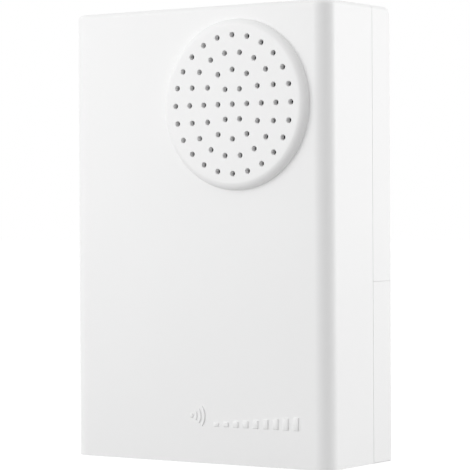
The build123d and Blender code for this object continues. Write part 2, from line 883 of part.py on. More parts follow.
tags = []
for way in (-1, 1):
    with BuildPart() as tag:
        with BuildSketch(across(y_strip + strip_thickness)):
            with Locations((strip_x, grille_z + way * tag_spacing / 2)):
                SlotOverall(strip_reach - 2 * tag_margin, tag_width)
                with Locations((-tag_hole_from_middle, 0)):
                    Circle(tag_hole_radius, mode=Mode.SUBTRACT)
        extrude(amount=-tag_thickness)
    tags.append(tag.part)
keep(Compound(children=tags), "speaker_tags")

# Retainer: the ring whose skirt presses on the basket's rim
with BuildPart() as speaker_retainer:
    with BuildSketch(across(y_inner + retainer_boss_height)):
        with Locations((grille_x, grille_z)):
            Circle(speaker_radius)
            with PolarLocations(
                retainer_boss_circle, retainer_bosses, start_angle=retainer_first_angle
            ):
                Circle(retainer_boss_radius)
                with Locations((-retainer_boss_radius, 0)):
                    Rectangle(2 * retainer_boss_radius, 2 * retainer_boss_radius)
            Circle(speaker_radius - retainer_skirt, mode=Mode.SUBTRACT)
    extrude(amount=-retainer_thickness)
    with BuildSketch(across(y_inner + clamp_depth)):
        with Locations((grille_x, grille_z)):
            Circle(speaker_radius)
            Circle(speaker_radius - retainer_skirt, mode=Mode.SUBTRACT)
    extrude(amount=-(retainer_boss_height - clamp_depth))
    with BuildSketch(across(y_inner + retainer_boss_height)):
        with Locations((grille_x, grille_z)):
            with PolarLocations(
                retainer_boss_circle, retainer_bosses, start_angle=retainer_first_angle
            ):
                Circle(small_screw_radius + shank_gap)
    extrude(amount=-retainer_thickness, mode=Mode.SUBTRACT)
keep(speaker_retainer.part, "speaker_retainer")

with Locations((grille_x, grille_z)):
    retainer_spots = PolarLocations(
        retainer_boss_circle, retainer_bosses, start_angle=retainer_first_angle
    ).locations
retainer_screws = [
    screw(
        Plane(
            origin=(
                spot.position.X,
                y_inner + retainer_boss_height + retainer_thickness,
                spot.position.Y,
            ),
            x_dir=(1, 0, 0),
            z_dir=rearward,
        ),
        small_screw_radius,
        small_screw_length,
        small_head_radius,
        small_head,
    )
    for spot in retainer_spots
]
keep(Compound(children=retainer_screws), "retainer_screws")

# Sound board
board_hole_places = [
    (board_x + i * board_screw_spread_x / 2, board_z + j * board_screw_spread_z / 2)
    for i in (-1, 1)
    for j in (-1, 1)
]
with BuildPart() as circuit_board:
    with BuildSketch(across(y_board_front)):
        with Locations((board_x, board_z)):
            Rectangle(board_width, board_height)
        with Locations(*board_hole_places):
            Circle(small_screw_radius + shank_gap, mode=Mode.SUBTRACT)
    extrude(amount=-board_thickness)
keep(circuit_board.part, "circuit_board")

board_screws = [
    screw(
        Plane(origin=(x, y_board_front, z), x_dir=(1, 0, 0), z_dir=frontward),
        small_screw_radius,
        small_screw_length,
        small_head_radius,
        small_head,
    )
    for x, z in board_hole_places
]
keep(Compound(children=board_screws), "board_screws")

# Terminal block over the wire entry: two mouths below, two screws facing the rear
terminal_base = board_base + terminal_from_edge
terminal_z = terminal_base + terminal_depth / 2
y_terminal_top = y_board_rear + terminal_height
pole_places = [wire_entry_x - terminal_pitch / 2, wire_entry_x + terminal_pitch / 2]
with BuildPart() as terminal_block:
    with BuildSketch(across(y_board_rear)):
        with Locations((wire_entry_x, terminal_z)):
            Rectangle(terminal_width, terminal_depth)
    extrude(amount=-terminal_height)
    mouth_edge = edges_at(terminal_block, Axis.Y, y_terminal_top).filter_by(Axis.X)
    chamfer(mouth_edge.sort_by(Axis.Z)[0], terminal_edge)
    y_mouth = y_board_rear + terminal_mouth_lift + terminal_mouth / 2
    with BuildSketch(Plane.XY.offset(terminal_base)):
        with Locations(*[(x, y_mouth) for x in pole_places]):
            Rectangle(terminal_mouth, terminal_mouth)
    extrude(amount=terminal_depth - terminal_back_wall, mode=Mode.SUBTRACT)
    with BuildSketch(across(y_terminal_top)):
        with Locations(*[(x, terminal_z) for x in pole_places]):
            Circle(terminal_well_radius)
    extrude(amount=y_terminal_top - y_mouth, mode=Mode.SUBTRACT)
keep(terminal_block.part, "terminal_block")

clamp_size = terminal_mouth - 2 * pilot_gap
clamps = []
for x in pole_places:
    with BuildPart() as clamp:
        with BuildSketch(Plane.XY.offset(terminal_base + clamp_inset)):
            with Locations((x, y_mouth)):
                Rectangle(clamp_size, clamp_size)
                Rectangle(clamp_size - 2 * clamp_wall, clamp_size - 2 * clamp_wall, mode=Mode.SUBTRACT)
        extrude(amount=terminal_depth - clamp_inset - clamp_back_inset)
        with BuildSketch(across(y_mouth + clamp_size / 2)):
            with Locations((x, terminal_z)):
                Circle(clamp_hole_radius)
        extrude(amount=clamp_wall, mode=Mode.SUBTRACT)
    clamps.append(clamp.part)
keep(Compound(children=clamps), "terminal_clamps")

terminal_screws = [
    screw(
        Plane(
            origin=(x, y_mouth + clamp_size / 2 + terminal_screw_rise, terminal_z),
            x_dir=(1, 0, 0),
            z_dir=rearward,
        ),
        terminal_screw_radius,
        terminal_screw_length,
        terminal_screw_head_radius,
        terminal_screw_head,
    )
    for x in pole_places
]
keep(Compound(children=terminal_screws), "terminal_screws")


def board_point(place):
    """The x and z of a place that is given as shares of the board's width and height."""
    across_share, up_share = place
    return board_left + across_share * board_width, board_base + up_share * board_height


def on_board(place, height=0.0):
    """The plane at a height over the board's component side, at a place given in shares."""
    x, z = board_point(place)
    return Plane(origin=(x, y_board_rear + height, z), x_dir=(1, 0, 0), z_dir=rearward)


# Electrolytic capacitors, standing
capacitors = []
for radius, place in zip((large_capacitor_radius, small_capacitor_radius), capacitor_places):
    with BuildPart(on_board(place)) as capacitor:
        Cylinder(radius, capacitor_height, align=(Align.CENTER, Align.CENTER, Align.MIN))
        chamfer(edges_at(capacitor, Axis.Y, y_board_rear + capacitor_height), capacitor_bevel)
    capacitors.append(capacitor.part)
keep(Compound(children=capacitors), "capacitors")

# Sound chip: a drop of black epoxy over the die
with BuildPart() as sound_chip:
    foot = on_board(sound_chip_place).origin
    cut = Plane(origin=foot, x_dir=(1, 0, 0), z_dir=(0, 0, 1))
    shoulder_radius, shoulder_height = sound_chip_shoulder
    with BuildSketch(cut):
        with BuildLine():
            ThreePointArc(
                (0, sound_chip_height),
                (sound_chip_radius * shoulder_radius, sound_chip_height * shoulder_height),
                (sound_chip_radius, 0),
            )
            Line((sound_chip_radius, 0), (0, 0))
            Line((0, 0), (0, sound_chip_height))
        make_face()
    revolve(axis=Axis(foot, rearward))
keep(sound_chip.part, "sound_chip")

# Amplifier chip: eight legs in two rows
with BuildPart() as amplifier_chip:
    with BuildSketch(on_board(amplifier_place, amplifier_lift)):
        Rectangle(amplifier_length, amplifier_width)
    extrude(amount=amplifier_height)
    chamfer(amplifier_chip.faces().sort_by(Axis.Y)[-1].edges(), amplifier_bevel)
    with BuildSketch(on_board(amplifier_place)):
        with GridLocations(pin_pitch, pin_row_spacing, pins_in_row, 2):
            Rectangle(pin_width, 2 * pin_width)
    extrude(amount=amplifier_lift + amplifier_height / 2)
keep(amplifier_chip.part, "amplifier_chip")

# Transistors: D-shaped bodies on three legs
transistors = []
for place in transistor_places:
    with BuildPart() as transistor:
        with BuildSketch(on_board(place, leg_height)):
            Circle(transistor_radius)
            with Locations((0, transistor_radius)):
                Rectangle(2 * transistor_radius, 2 * transistor_flat, mode=Mode.SUBTRACT)
        extrude(amount=transistor_height)
        with BuildSketch(on_board(place)):
            with GridLocations(pin_pitch / 2, 1, 3, 1):
                Rectangle(leg_width, leg_width)
        extrude(amount=leg_height)
    transistors.append(transistor.part)
keep(Compound(children=transistors), "transistors")


def leg_pair(place, spread):
    """The sections of the two upright legs of a part that stands over the board at a place."""
    with BuildSketch(on_board(place)) as legs:
        with GridLocations(spread, 1, 2, 1):
            Rectangle(leg_width, leg_width)
    return legs.sketch


# Resistors: a row of barrels with their wires bent down to the board
resistors = []
for k in range(resistor_count):
    place = (first_resistor_place[0], first_resistor_place[1] + k * resistor_step)
    with BuildPart() as resistor:
        barrel = on_board(place, leg_height)
        with BuildSketch(Plane(origin=barrel.origin, x_dir=(0, 1, 0), z_dir=(1, 0, 0))):
            Circle(resistor_radius)
        extrude(amount=resistor_length / 2, both=True)
        with BuildSketch(Plane(origin=barrel.origin, x_dir=(0, 1, 0), z_dir=(1, 0, 0))):
            Rectangle(leg_width, leg_width)
        extrude(amount=resistor_length / 2 + resistor_wire_reach + leg_width / 2, both=True)
        extrude(leg_pair(place, resistor_length + 2 * resistor_wire_reach), amount=leg_height)
    resistors.append(resistor.part)
keep(Compound(children=resistors), "resistors")

# Disc capacitors, on edge
discs = []
for place in disc_places:
    with BuildPart() as disc:
        middle = on_board(place, leg_height + disc_radius)
        with BuildSketch(Plane(origin=middle.origin, x_dir=(1, 0, 0), z_dir=(0, 0, 1))):
            Circle(disc_radius)
        extrude(amount=disc_thickness / 2, both=True)
        extrude(leg_pair(place, disc_radius), amount=leg_height + disc_radius / 2)
    discs.append(disc.part)
keep(Compound(children=discs), "disc_capacitors")

# Cells: the middle one lies the other way round
for name, z, way in zip(("cell_lower", "cell_middle", "cell_upper"), z_cells, (1, -1, 1)):
    tip = way * (bay_half - contact_thickness - dimple_height)
    with BuildPart() as cell:
        with BuildSketch(Plane(origin=(tip, y_cell, z), x_dir=(0, 1, 0), z_dir=(-way, 0, 0))):
            Circle(cell_nub_radius)
        extrude(amount=cell_nub)
        shoulder = tip - way * cell_nub
        with BuildSketch(Plane(origin=(shoulder, y_cell, z), x_dir=(0, 1, 0), z_dir=(-way, 0, 0))):
            Circle(cell_radius)
        extrude(amount=cell_length - cell_nub)
        widest = cell.edges().filter_by(GeomType.CIRCLE).sort_by(SortBy.RADIUS)[-2:]
        chamfer(widest, cell_bevel)
    keep(cell.part, name)


def contact(name, side, plus_z, minus_z, tail_z):
    """A contact strip on one end wall of the bay, with a dimple at plus_z, a cone spring at minus_z
    and a tail at tail_z, each where it is not None."""
    face_x = side * (bay_half - contact_thickness)
    inward = (-side, 0, 0)
    levels = [z for z in (plus_z, minus_z) if z is not None]
    low, high = min(levels) - contact_width / 2, max(levels) + contact_width / 2
    reach = y_bay_side - contact_below_bay_side - (y_bay_floor + contact_front)
    with BuildPart() as strip:
        with BuildSketch(Plane.YZ.offset(face_x)):
            with Locations((y_bay_floor + contact_front + reach / 2, (low + high) / 2)):
                RectangleRounded(reach, high - low, radius=contact_corner)
            if tail_z is not None:
                tail_length = contact_corner + contact_front + bay_wall + contact_tail
                tail_middle = y_bay_floor + contact_front + contact_corner - tail_length / 2
                with Locations((tail_middle, tail_z)):
                    Rectangle(tail_length, contact_tail_width)
        extrude(amount=side * contact_thickness)
        if plus_z is not None:
            with Locations(Plane(origin=(face_x, y_cell, plus_z), x_dir=(0, 1, 0), z_dir=inward)):
                Cone(
                    dimple_radius,
                    dimple_radius * dimple_taper,
                    dimple_height,
                    align=(Align.CENTER, Align.CENTER, Align.MIN),
                )
        if minus_z is not None:
            coil_height = spring_length - 2 * spring_wire_radius - spring_end_gap + spring_sunk
            start = (face_x - side * (spring_wire_radius - spring_sunk), y_cell, minus_z)
            taper = -Vector(coil_height, spring_base_radius - spring_tip_radius).get_angle(
                Vector(1, 0)
            )
            with BuildLine() as coil:
                Helix(
                    coil_height / spring_turns,
                    coil_height,
                    spring_base_radius,
                    center=start,
                    direction=inward,
                    cone_angle=taper,
                )
            with BuildSketch(Plane(origin=coil.line @ 0, z_dir=coil.line % 0)):
                RegularPolygon(spring_wire_radius, spring_wire_sides)
            sweep(path=coil.line, is_frenet=True)
    keep(strip.part, name)


lower, middle, upper = z_cells
contact("battery_contact_negative", -1, None, lower, lower)
contact("battery_link_right", 1, lower, middle, None)
contact("battery_link_left", -1, middle, upper, None)
contact("battery_contact_positive", 1, upper, None, upper)


def lead(name, points):
    """An insulated wire along straight runs joined by tangent arcs, each as large as its runs allow."""
    corners = [Vector(*p) for p in points]
    runs = [b - a for a, b in zip(corners, corners[1:])]
    turns = [a.get_angle(b) for a, b in zip(runs, runs[1:])]
    radii = [
        bend_share_of_run * min(a.length, b.length) / tan(radians(turn) / 2)
        for a, b, turn in zip(runs, runs[1:], turns)
    ]
    with BuildPart() as wire:
        with BuildLine() as route:
            FilletPolyline(*points, radius=radii)
        with BuildSketch(Plane(origin=route.line @ 0, z_dir=route.line % 0)):
            Circle(lead_radius)
        sweep(path=route.line)
    length = sum(edge.length for edge in route.edges())
    expected = pi * lead_radius**2 * length
    print(
        f"{name}: length {length:.1f}, radii {[round(r, 1) for r in radii]},"
        f" turns {[round(t) for t in turns]}, volume {wire.part.volume / expected:.4f} of its section"
    )
    keep(wire.part, name)


# The battery leads lie in front of the tray and the board, and end square on the board's front
tail_x = bay_half + lead_radius
y_tail = y_bay_floor - bay_wall - contact_tail / 2
y_before = y_board_front - lead_before_board
black_x, black_z = board_point(battery_black_pad)
lead(
    "battery_lead_black",
    [
        (-tail_x, y_tail, lower - tail_joint),
        (-tail_x, y_tail, middle),
        (-tail_x - lead_sway, y_before + lead_settle, z_seam - lead_below_seam),
        (black_x, y_before, black_z),
        (black_x, y_board_front, black_z),
    ],
)
red_x, red_z = board_point(battery_red_pad)
lead(
    "battery_lead_red",
    [
        (tail_x, y_tail, upper - tail_joint),
        (tail_x, y_tail, upper + tail_rise),
        *[
            (
                tail_x + (red_x - tail_x) * across_share,
                y_before + lead_settle * settling,
                z_room + (red_z - z_room) * up_share,
            )
            for across_share, up_share, settling in red_lead_bends
        ],
        (red_x, y_before, red_z),
        (red_x, y_board_front, red_z),
    ],
)

# The speaker's leads leave its tags square, run down beside the board and end square on its rear face
y_tag = y_strip + strip_thickness + tag_thickness
red_pad, black_pad = speaker_pads
for name, way, turn, pad in (
    ("speaker_lead_red", 1, red_turn_behind_board, red_pad),
    ("speaker_lead_black", -1, black_turn_behind_board, black_pad),
):
    tag_z = grille_z + way * tag_spacing / 2
    y_turn = y_board_rear + turn
    pad_x, pad_z = board_point(pad)
    lead(
        name,
        [
            (tag_end_x, y_tag, tag_z),
            (tag_end_x, y_turn, tag_z),
            (tag_end_x, y_turn, pad_z),
            (pad_x, y_turn, pad_z),
            (pad_x, y_board_rear, pad_z),
        ],
    )
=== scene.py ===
"""A wall door chime in white moulded ABS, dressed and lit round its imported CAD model."""

import json
import math
from typing import NamedTuple

import bmesh
import bpy
from bpy.props import (
    FloatProperty,
    FloatVectorProperty,
    IntProperty,
    PointerProperty,
)
from mathutils import Matrix, Vector


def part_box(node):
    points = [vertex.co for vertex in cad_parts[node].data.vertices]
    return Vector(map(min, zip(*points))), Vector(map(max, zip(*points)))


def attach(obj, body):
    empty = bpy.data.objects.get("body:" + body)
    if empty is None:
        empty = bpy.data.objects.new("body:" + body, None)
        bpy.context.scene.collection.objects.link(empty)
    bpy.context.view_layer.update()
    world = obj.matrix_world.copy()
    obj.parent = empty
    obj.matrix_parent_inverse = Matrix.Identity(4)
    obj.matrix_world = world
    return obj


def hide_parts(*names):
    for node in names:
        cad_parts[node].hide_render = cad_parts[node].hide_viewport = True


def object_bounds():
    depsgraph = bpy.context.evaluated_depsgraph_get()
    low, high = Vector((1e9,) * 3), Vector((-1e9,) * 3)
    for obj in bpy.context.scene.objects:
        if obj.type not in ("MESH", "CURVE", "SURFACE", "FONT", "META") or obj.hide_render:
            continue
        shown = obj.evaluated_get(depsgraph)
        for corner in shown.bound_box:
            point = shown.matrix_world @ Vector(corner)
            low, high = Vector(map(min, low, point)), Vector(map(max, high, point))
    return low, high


bl_info = {
    "name": "Wall door chime",
    "version": (1, 0, 0),
    "blender": (4, 5, 0),
    "location": "View3D > Sidebar > Chime",
    "description": "Dresses the chime's mouldings, screws, cells and inner parts and sets up its studio",
    "category": "Object",
}

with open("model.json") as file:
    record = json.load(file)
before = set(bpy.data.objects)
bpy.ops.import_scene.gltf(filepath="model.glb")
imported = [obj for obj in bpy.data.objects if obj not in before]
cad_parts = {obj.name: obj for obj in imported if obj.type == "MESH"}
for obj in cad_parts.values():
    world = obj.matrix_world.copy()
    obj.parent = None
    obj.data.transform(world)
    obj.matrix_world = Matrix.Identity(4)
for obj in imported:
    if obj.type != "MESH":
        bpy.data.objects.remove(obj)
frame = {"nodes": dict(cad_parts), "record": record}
cad_low, cad_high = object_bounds()
MM = 0.001

# Sizes that the solids have: the grille above the face, the battery cover's tab, and the two seams
GRILLE_RISE = 2.2 * MM
TAB_HEIGHT = 3.0 * MM
UPRIGHT_SEAM = 0.05 * MM
LEVEL_SEAM = 0.04 * MM

# Numbers of the X, Y and Z axes, as a vector counts them
ALONG_X, ALONG_Y, ALONG_Z = range(3)

# Numbers of a Mix node's colour sockets, whose names its other sockets share
MIX_FIRST, MIX_SECOND, MIX_RESULT = 6, 7, 2

# Edges lie at one level within the slack, are steep from the rim's turn on, and belong to the
# outside of the case within its skin
LEVEL_SLACK = 0.02 * MM
RIM_TURN = math.radians(60)
CASE_SKIN = 1.0 * MM

# Corners of loose triangles, and of a turned piece, are one point within these distances
LOOSE_MERGE = 1e-6
TURNED_MERGE = 1e-7

# A cold-headed pan-head screw: its head's outline in shares of the head's radius and height
HEAD_OUTLINE = ((0.74, 1), (0.9, 0.86), (0.98, 0.55), (1, 0.2), (0.97, 0))
HEAD_SIDES = 32
# Its thread and point in shares of the shank's radius
DEEPEST_THREAD = 0.25
WIDEST_PITCH = 0.7
POINT_LENGTH = 1.4
POINT_RADIUS = 0.2
# Its slot in a share of the head's radius, and the recess floor in a share of the recess
SLOT_REACH = 0.7
RECESS_TAPER = 0.6
# Its ridge's foot in shares of the thread's depth and pitch, and the bare run before the head
RIDGE_FOOT = 0.3
THREAD_RUN_OUT = 0.8
STEPS_A_TURN = 16


class ScrewSize(NamedTuple):
    """The sizes of one kind of pan-head screw."""

    shank: float
    length: float
    head: float
    height: float


CASE_SCREW = ScrewSize(shank=1.3 * MM, length=12 * MM, head=2.6 * MM, height=1.8 * MM)
SMALL_SCREW = ScrewSize(shank=0.9 * MM, length=5.2 * MM, head=1.9 * MM, height=1.3 * MM)
CLAMP_SCREW = ScrewSize(shank=0.95 * MM, length=2.6 * MM, head=1.6 * MM, height=1.6 * MM)
RETAINER_CIRCLE = 25.2 * MM
RETAINER_ANGLES = (30, 150, 270)


def linear(code):
    """The linear colour of an sRGB hex value such as "#F2F3F3"."""
    parts = [int(code[i : i + 2], 16) / 255 for i in (1, 3, 5)]
    return tuple(p / 12.92 if p <= 0.04045 else ((p + 0.055) / 1.055) ** 2.4 for p in parts)


def colour_property(name, description, code):
    """A colour setting whose default is an sRGB hex value."""
    return FloatVectorProperty(
        name=name, description=description, subtype="COLOR", size=3, min=0, max=1, default=linear(code)
    )


def length_property(name, description, millimetres):
    """A length setting whose default is given in millimetres."""
    return FloatProperty(
        name=name,
        description=description,
        subtype="DISTANCE",
        unit="LENGTH",
        precision=5,
        default=millimetres * MM,
    )


class ChimePlasticSettings(bpy.types.PropertyGroup):
    """The white mouldings' finish."""

    colour: colour_property("Colour", "Colour of the moulded ABS", "#F4F4F4")
    roughness: FloatProperty(
        name="Roughness", description="Gloss of the satin moulding", min=0, max=1, default=0.42
    )
    grain_size: length_property("Grain size", "Spacing of the spark-eroded texture", 0.35)
    grain_depth: length_property("Grain depth", "Depth of the spark-eroded texture", 0.006)
    wave_size: length_property("Wave size", "Spacing of the slow waviness of a large wall", 26)
    wave_depth: length_property("Wave depth", "Depth of the slow waviness of a large wall", 0.03)
    seam_rounding: length_property("Seam rounding", "Radius on the edges that meet at a seam", 0.16)
    hole_rounding: length_property("Hole rounding", "Radius on the rims of the grille's holes", 0.12)
    rim_rounding: length_property("Rim rounding", "Radius on the rims of the openings at the rear", 0.2)
    foot_rounding: length_property("Foot rounding", "Radius on the battery cover's lower edge", 0.35)


class ChimeMotifSettings(bpy.types.PropertyGroup):
    """The raised loudness motif at the foot of the front."""

    left: length_property("Left", "Place of the waves' source right of the middle", -1.7)
    base: length_property("Base", "Height of the motif's foot above the base", 9.9)
    relief: length_property("Relief", "How far the motif stands out of the front", 0.3)
    rounding: length_property("Rounding", "Radius on the motif's front edges", 0.12)
    first_wave: length_property("First wave", "Radius of the smallest wave", 1.6)
    wave_pitch: length_property("Wave pitch", "Distance from wave to wave", 1.25)
    wave_width: length_property("Wave width", "Width of a wave's line", 0.55)
    waves: IntProperty(name="Waves", description="Number of waves", min=1, default=3)
    wave_spread: FloatProperty(
        name="Wave spread", description="Angle that a wave spans", subtype="ANGLE", default=math.radians(76)
    )
    first_bar: length_property("First bar", "Place of the first bar right of the middle", 6.2)
    bar_pitch: length_property("Bar pitch", "Distance from bar to bar", 3.1)
    bar_width: length_property("Bar width", "Width of a bar", 1.5)
    lowest_bar: length_property("Lowest bar", "Height of the first bar", 0.9)
    highest_bar: length_property("Highest bar", "Height of the last bar", 3.3)
    bars: IntProperty(name="Bars", description="Number of bars", min=2, default=9)


class ChimeScrewSettings(bpy.types.PropertyGroup):
    """The pan-head screws of the case, the loudspeaker, the board and the terminals."""

    thread_pitch: length_property("Thread pitch", "Distance from thread to thread", 0.9)
    thread_depth: length_property("Thread depth", "Height of the thread over the core", 0.22)
    recess_reach: FloatProperty(
        name="Recess reach", description="Half length of a recess arm over the head's radius", default=0.58
    )
    recess_width: FloatProperty(
        name="Recess width", description="Half width of a recess arm over the head's radius", default=0.14
    )
    recess_depth: FloatProperty(
        name="Recess depth", description="Depth of the recess over the head's height", default=0.5
    )


class ChimeCellSettings(bpy.types.PropertyGroup):
    """The three AA cells."""

    sleeve_colour: colour_property("Sleeve", "Colour of the printed sleeve", "#39444E")
    band_colour: colour_property("Band", "Colour of the band near the plus end", "#C9CDD0")
    metal_colour: colour_property("Caps", "Colour of the nickel-plated ends", "#B9B9B4")
    radius: length_property("Radius", "Radius of a cell", 7.25)
    nub_radius: length_property("Nub radius", "Radius of the plus end's nub", 2.75)
    nub_height: length_property("Nub height", "Height of the plus end's nub", 1.0)
    sleeve_fold: length_property("Sleeve fold", "Radius of the sleeve's folded ends", 0.7)
    band_start: length_property("Band start", "Distance of the band from the plus end's shoulder", 3.0)
    band_width: length_property("Band width", "Width of the band near the plus end", 7.0)


class ChimeStageSettings(bpy.types.PropertyGroup):
    """Camera, lamps, floor and backdrop."""

    camera_place: FloatVectorProperty(
        name="Camera place",
        description="Where the camera stands",
        subtype="XYZ",
        unit="LENGTH",
        size=3,
        default=(0.3404, -0.4993, 0.0632),
    )
    camera_turn: FloatProperty(
        name="Camera turn",
        description="Turn of the camera about the upright, from looking along +Y",
        subtype="ANGLE",
        default=0.5952,
    )
    camera_rise: FloatProperty(
        name="Camera rise", description="Upward tilt of the camera", subtype="ANGLE", default=-0.0055
    )
    camera_roll: FloatProperty(
        name="Camera roll", description="Roll of the camera", subtype="ANGLE", default=-0.0050
    )
    lens: FloatProperty(name="Lens", description="Focal length in millimetres", min=1, default=172.24)
    key_power: FloatProperty(
        name="Key lamp", description="Power of the lamp in front at the left", subtype="POWER", default=1.05
    )
    low_power: FloatProperty(
        name="Low lamp", description="Power of the low lamp at the left", subtype="POWER", default=0.55
    )
    back_power: FloatProperty(
        name="Back lamp", description="Power of the lamp behind at the right", subtype="POWER", default=4.65
    )
    fill: FloatProperty(name="Fill", description="Strength of the even light all round", default=0.71)
    floor_colour: colour_property("Floor", "Colour of the pale floor", "#BDBDBD")
    floor_lift: FloatProperty(
        name="Floor lift",
        description="Strength that the floor gains where the camera sees it",
        default=0.65,
    )


def add_node(tree, kind, inputs=None, links=None, **settings):
    """Adds one shader node with its settings, its input values and its links."""
    made = tree.nodes.new(kind)
    for name, value in settings.items():
        setattr(made, name, value)
    for name, value in (inputs or {}).items():
        made.inputs[name].default_value = value
    for name, socket in (links or {}).items():
        tree.links.new(socket, made.inputs[name])
    return made


def empty_material(name):
    """A material of that name with no nodes yet, and its node tree."""
    material = bpy.data.materials.new(name)
    material.use_nodes = True
    material.node_tree.nodes.clear()
    return material, material.node_tree


def opaque(colour):
    """A colour with full alpha, as a shader socket takes it."""
    return (*colour, 1.0)


def moulded_abs(plastic):
    """White ABS from a spark-eroded mould: a fine satin grain, and a slow waviness over large walls."""
    material, tree = empty_material("abs_moulded_satin_white")
    place = add_node(tree, "ShaderNodeTexCoord").outputs["Object"]
    grain = add_node(
        tree,
        "ShaderNodeTexNoise",
        inputs={"Scale": 1 / plastic.grain_size, "Detail": 2.0, "Roughness": 0.6},
        links={"Vector": place},
    )
    waves = add_node(
        tree,
        "ShaderNodeTexNoise",
        inputs={"Scale": 1 / plastic.wave_size, "Detail": 1.0, "Roughness": 0.4},
        links={"Vector": place},
    )
    wavy = add_node(
        tree,
        "ShaderNodeBump",
        inputs={"Strength": 1.0, "Distance": plastic.wave_depth},
        links={"Height": waves.outputs[0]},
    )
    grained = add_node(
        tree,
        "ShaderNodeBump",
        inputs={"Strength": 1.0, "Distance": plastic.grain_depth},
        links={"Height": grain.outputs[0], "Normal": wavy.outputs["Normal"]},
    )
    # The resin's tone drifts by less than a hundredth over the moulding
    tone = add_node(
        tree,
        "ShaderNodeMapRange",
        inputs={"From Min": 0.3, "From Max": 0.7, "To Min": 0.992, "To Max": 1.0},
        links={"Value": waves.outputs[0]},
    )
    colour = add_node(
        tree,
        "ShaderNodeMix",
        data_type="RGBA",
        blend_type="MULTIPLY",
        inputs={"Factor": 1.0},
    )
    colour.inputs[MIX_FIRST].default_value = opaque(plastic.colour)
    tree.links.new(tone.outputs[0], colour.inputs[MIX_SECOND])
    gloss_swing = 0.04
    gloss = add_node(
        tree,
        "ShaderNodeMapRange",
        inputs={
            "From Min": 0.25,
            "From Max": 0.75,
            "To Min": plastic.roughness - gloss_swing,
            "To Max": plastic.roughness + gloss_swing,
        },
        links={"Value": grain.outputs[0]},
    )
    shader = add_node(
        tree,
        "ShaderNodeBsdfPrincipled",
        inputs={"IOR": 1.54},
        links={
            "Base Color": colour.outputs[MIX_RESULT],
            "Roughness": gloss.outputs[0],
            "Normal": grained.outputs["Normal"],
        },
    )
    add_node(tree, "ShaderNodeOutputMaterial", links={"Surface": shader.outputs["BSDF"]})
    return material


def finish_of(
    name, colour, roughness, metallic=0.0, grain=1.0, depth=0.005, drift=0.08, ior=1.5,
    stretch=(1, 1, 1), coat=0.0,
):
    """A finish whose tone drifts about a linear colour, and whose surface rises by depth over a
    grain, both in mm."""
    material, tree = empty_material(name)
    place = add_node(tree, "ShaderNodeTexCoord").outputs["Object"]
    drawn_out = add_node(tree, "ShaderNodeMapping", inputs={"Scale": stretch}, links={"Vector": place})
    pattern = add_node(
        tree,
        "ShaderNodeTexNoise",
        inputs={"Scale": 1 / (grain * MM), "Detail": 3.0, "Roughness": 0.55},
        links={"Vector": drawn_out.outputs[0]},
    )
    tone = add_node(tree, "ShaderNodeMix", data_type="RGBA", links={"Factor": pattern.outputs[0]})
    tone.inputs[MIX_FIRST].default_value = opaque([c * (1 - drift) for c in colour])
    tone.inputs[MIX_SECOND].default_value = opaque([min(1.0, c * (1 + drift)) for c in colour])
    bump = add_node(
        tree,
        "ShaderNodeBump",
        inputs={"Strength": 1.0, "Distance": depth * MM},
        links={"Height": pattern.outputs[0]},
    )
    shader = add_node(
        tree,
        "ShaderNodeBsdfPrincipled",
        inputs={
            "Metallic": metallic,
            "Roughness": roughness,
            "IOR": ior,
            "Coat Weight": coat,
            "Coat Roughness": 0.15,
        },
        links={"Base Color": tone.outputs[MIX_RESULT], "Normal": bump.outputs["Normal"]},
    )
    add_node(tree, "ShaderNodeOutputMaterial", links={"Surface": shader.outputs["BSDF"]})
    return material


def ridged_finish(name, colour, roughness, directions, pitch, depth, metallic=0.0):
    """A finish with even ridges across the directions given: one for a winding, two for a weave; its
    grooves are darkened as painted shade.
    """
    material, tree = empty_material(name)
    place = add_node(tree, "ShaderNodeTexCoord").outputs["Object"]
    heights = []
    for direction in directions:
        # A wave texture has 20 / (2 pi) bands to a unit at scale 1
        ridges = add_node(
            tree,
            "ShaderNodeTexWave",
            bands_direction=direction,
            inputs={"Scale": 2 * math.pi / 20 / (pitch * MM), "Distortion": 0.0},
            links={"Vector": place},
        )
        heights.append(ridges.outputs["Fac"])
    height = heights[0]
    if len(heights) > 1:
        height = add_node(tree, "ShaderNodeMath", operation="MULTIPLY").outputs[0]
        for ridge, socket in zip(heights, height.node.inputs):
            tree.links.new(ridge, socket)
    # Painted shade: the grooves' colour is darkened to 0.7 of the ridges', lower as the ridges' height
    # falls
    painted_groove_shade = 0.7
    tone = add_node(tree, "ShaderNodeMix", data_type="RGBA", links={"Factor": height})
    tone.inputs[MIX_FIRST].default_value = opaque([c * painted_groove_shade for c in colour])
    tone.inputs[MIX_SECOND].default_value = opaque(colour)
    bump = add_node(
        tree,
        "ShaderNodeBump",
        inputs={"Strength": 1.0, "Distance": depth * MM},
        links={"Height": height},
    )
    shader = add_node(
        tree,
        "ShaderNodeBsdfPrincipled",
        inputs={"Metallic": metallic, "Roughness": roughness},
        links={"Base Color": tone.outputs[MIX_RESULT], "Normal": bump.outputs["Normal"]},
    )
    add_node(tree, "ShaderNodeOutputMaterial", links={"Surface": shader.outputs["BSDF"]})
    return material


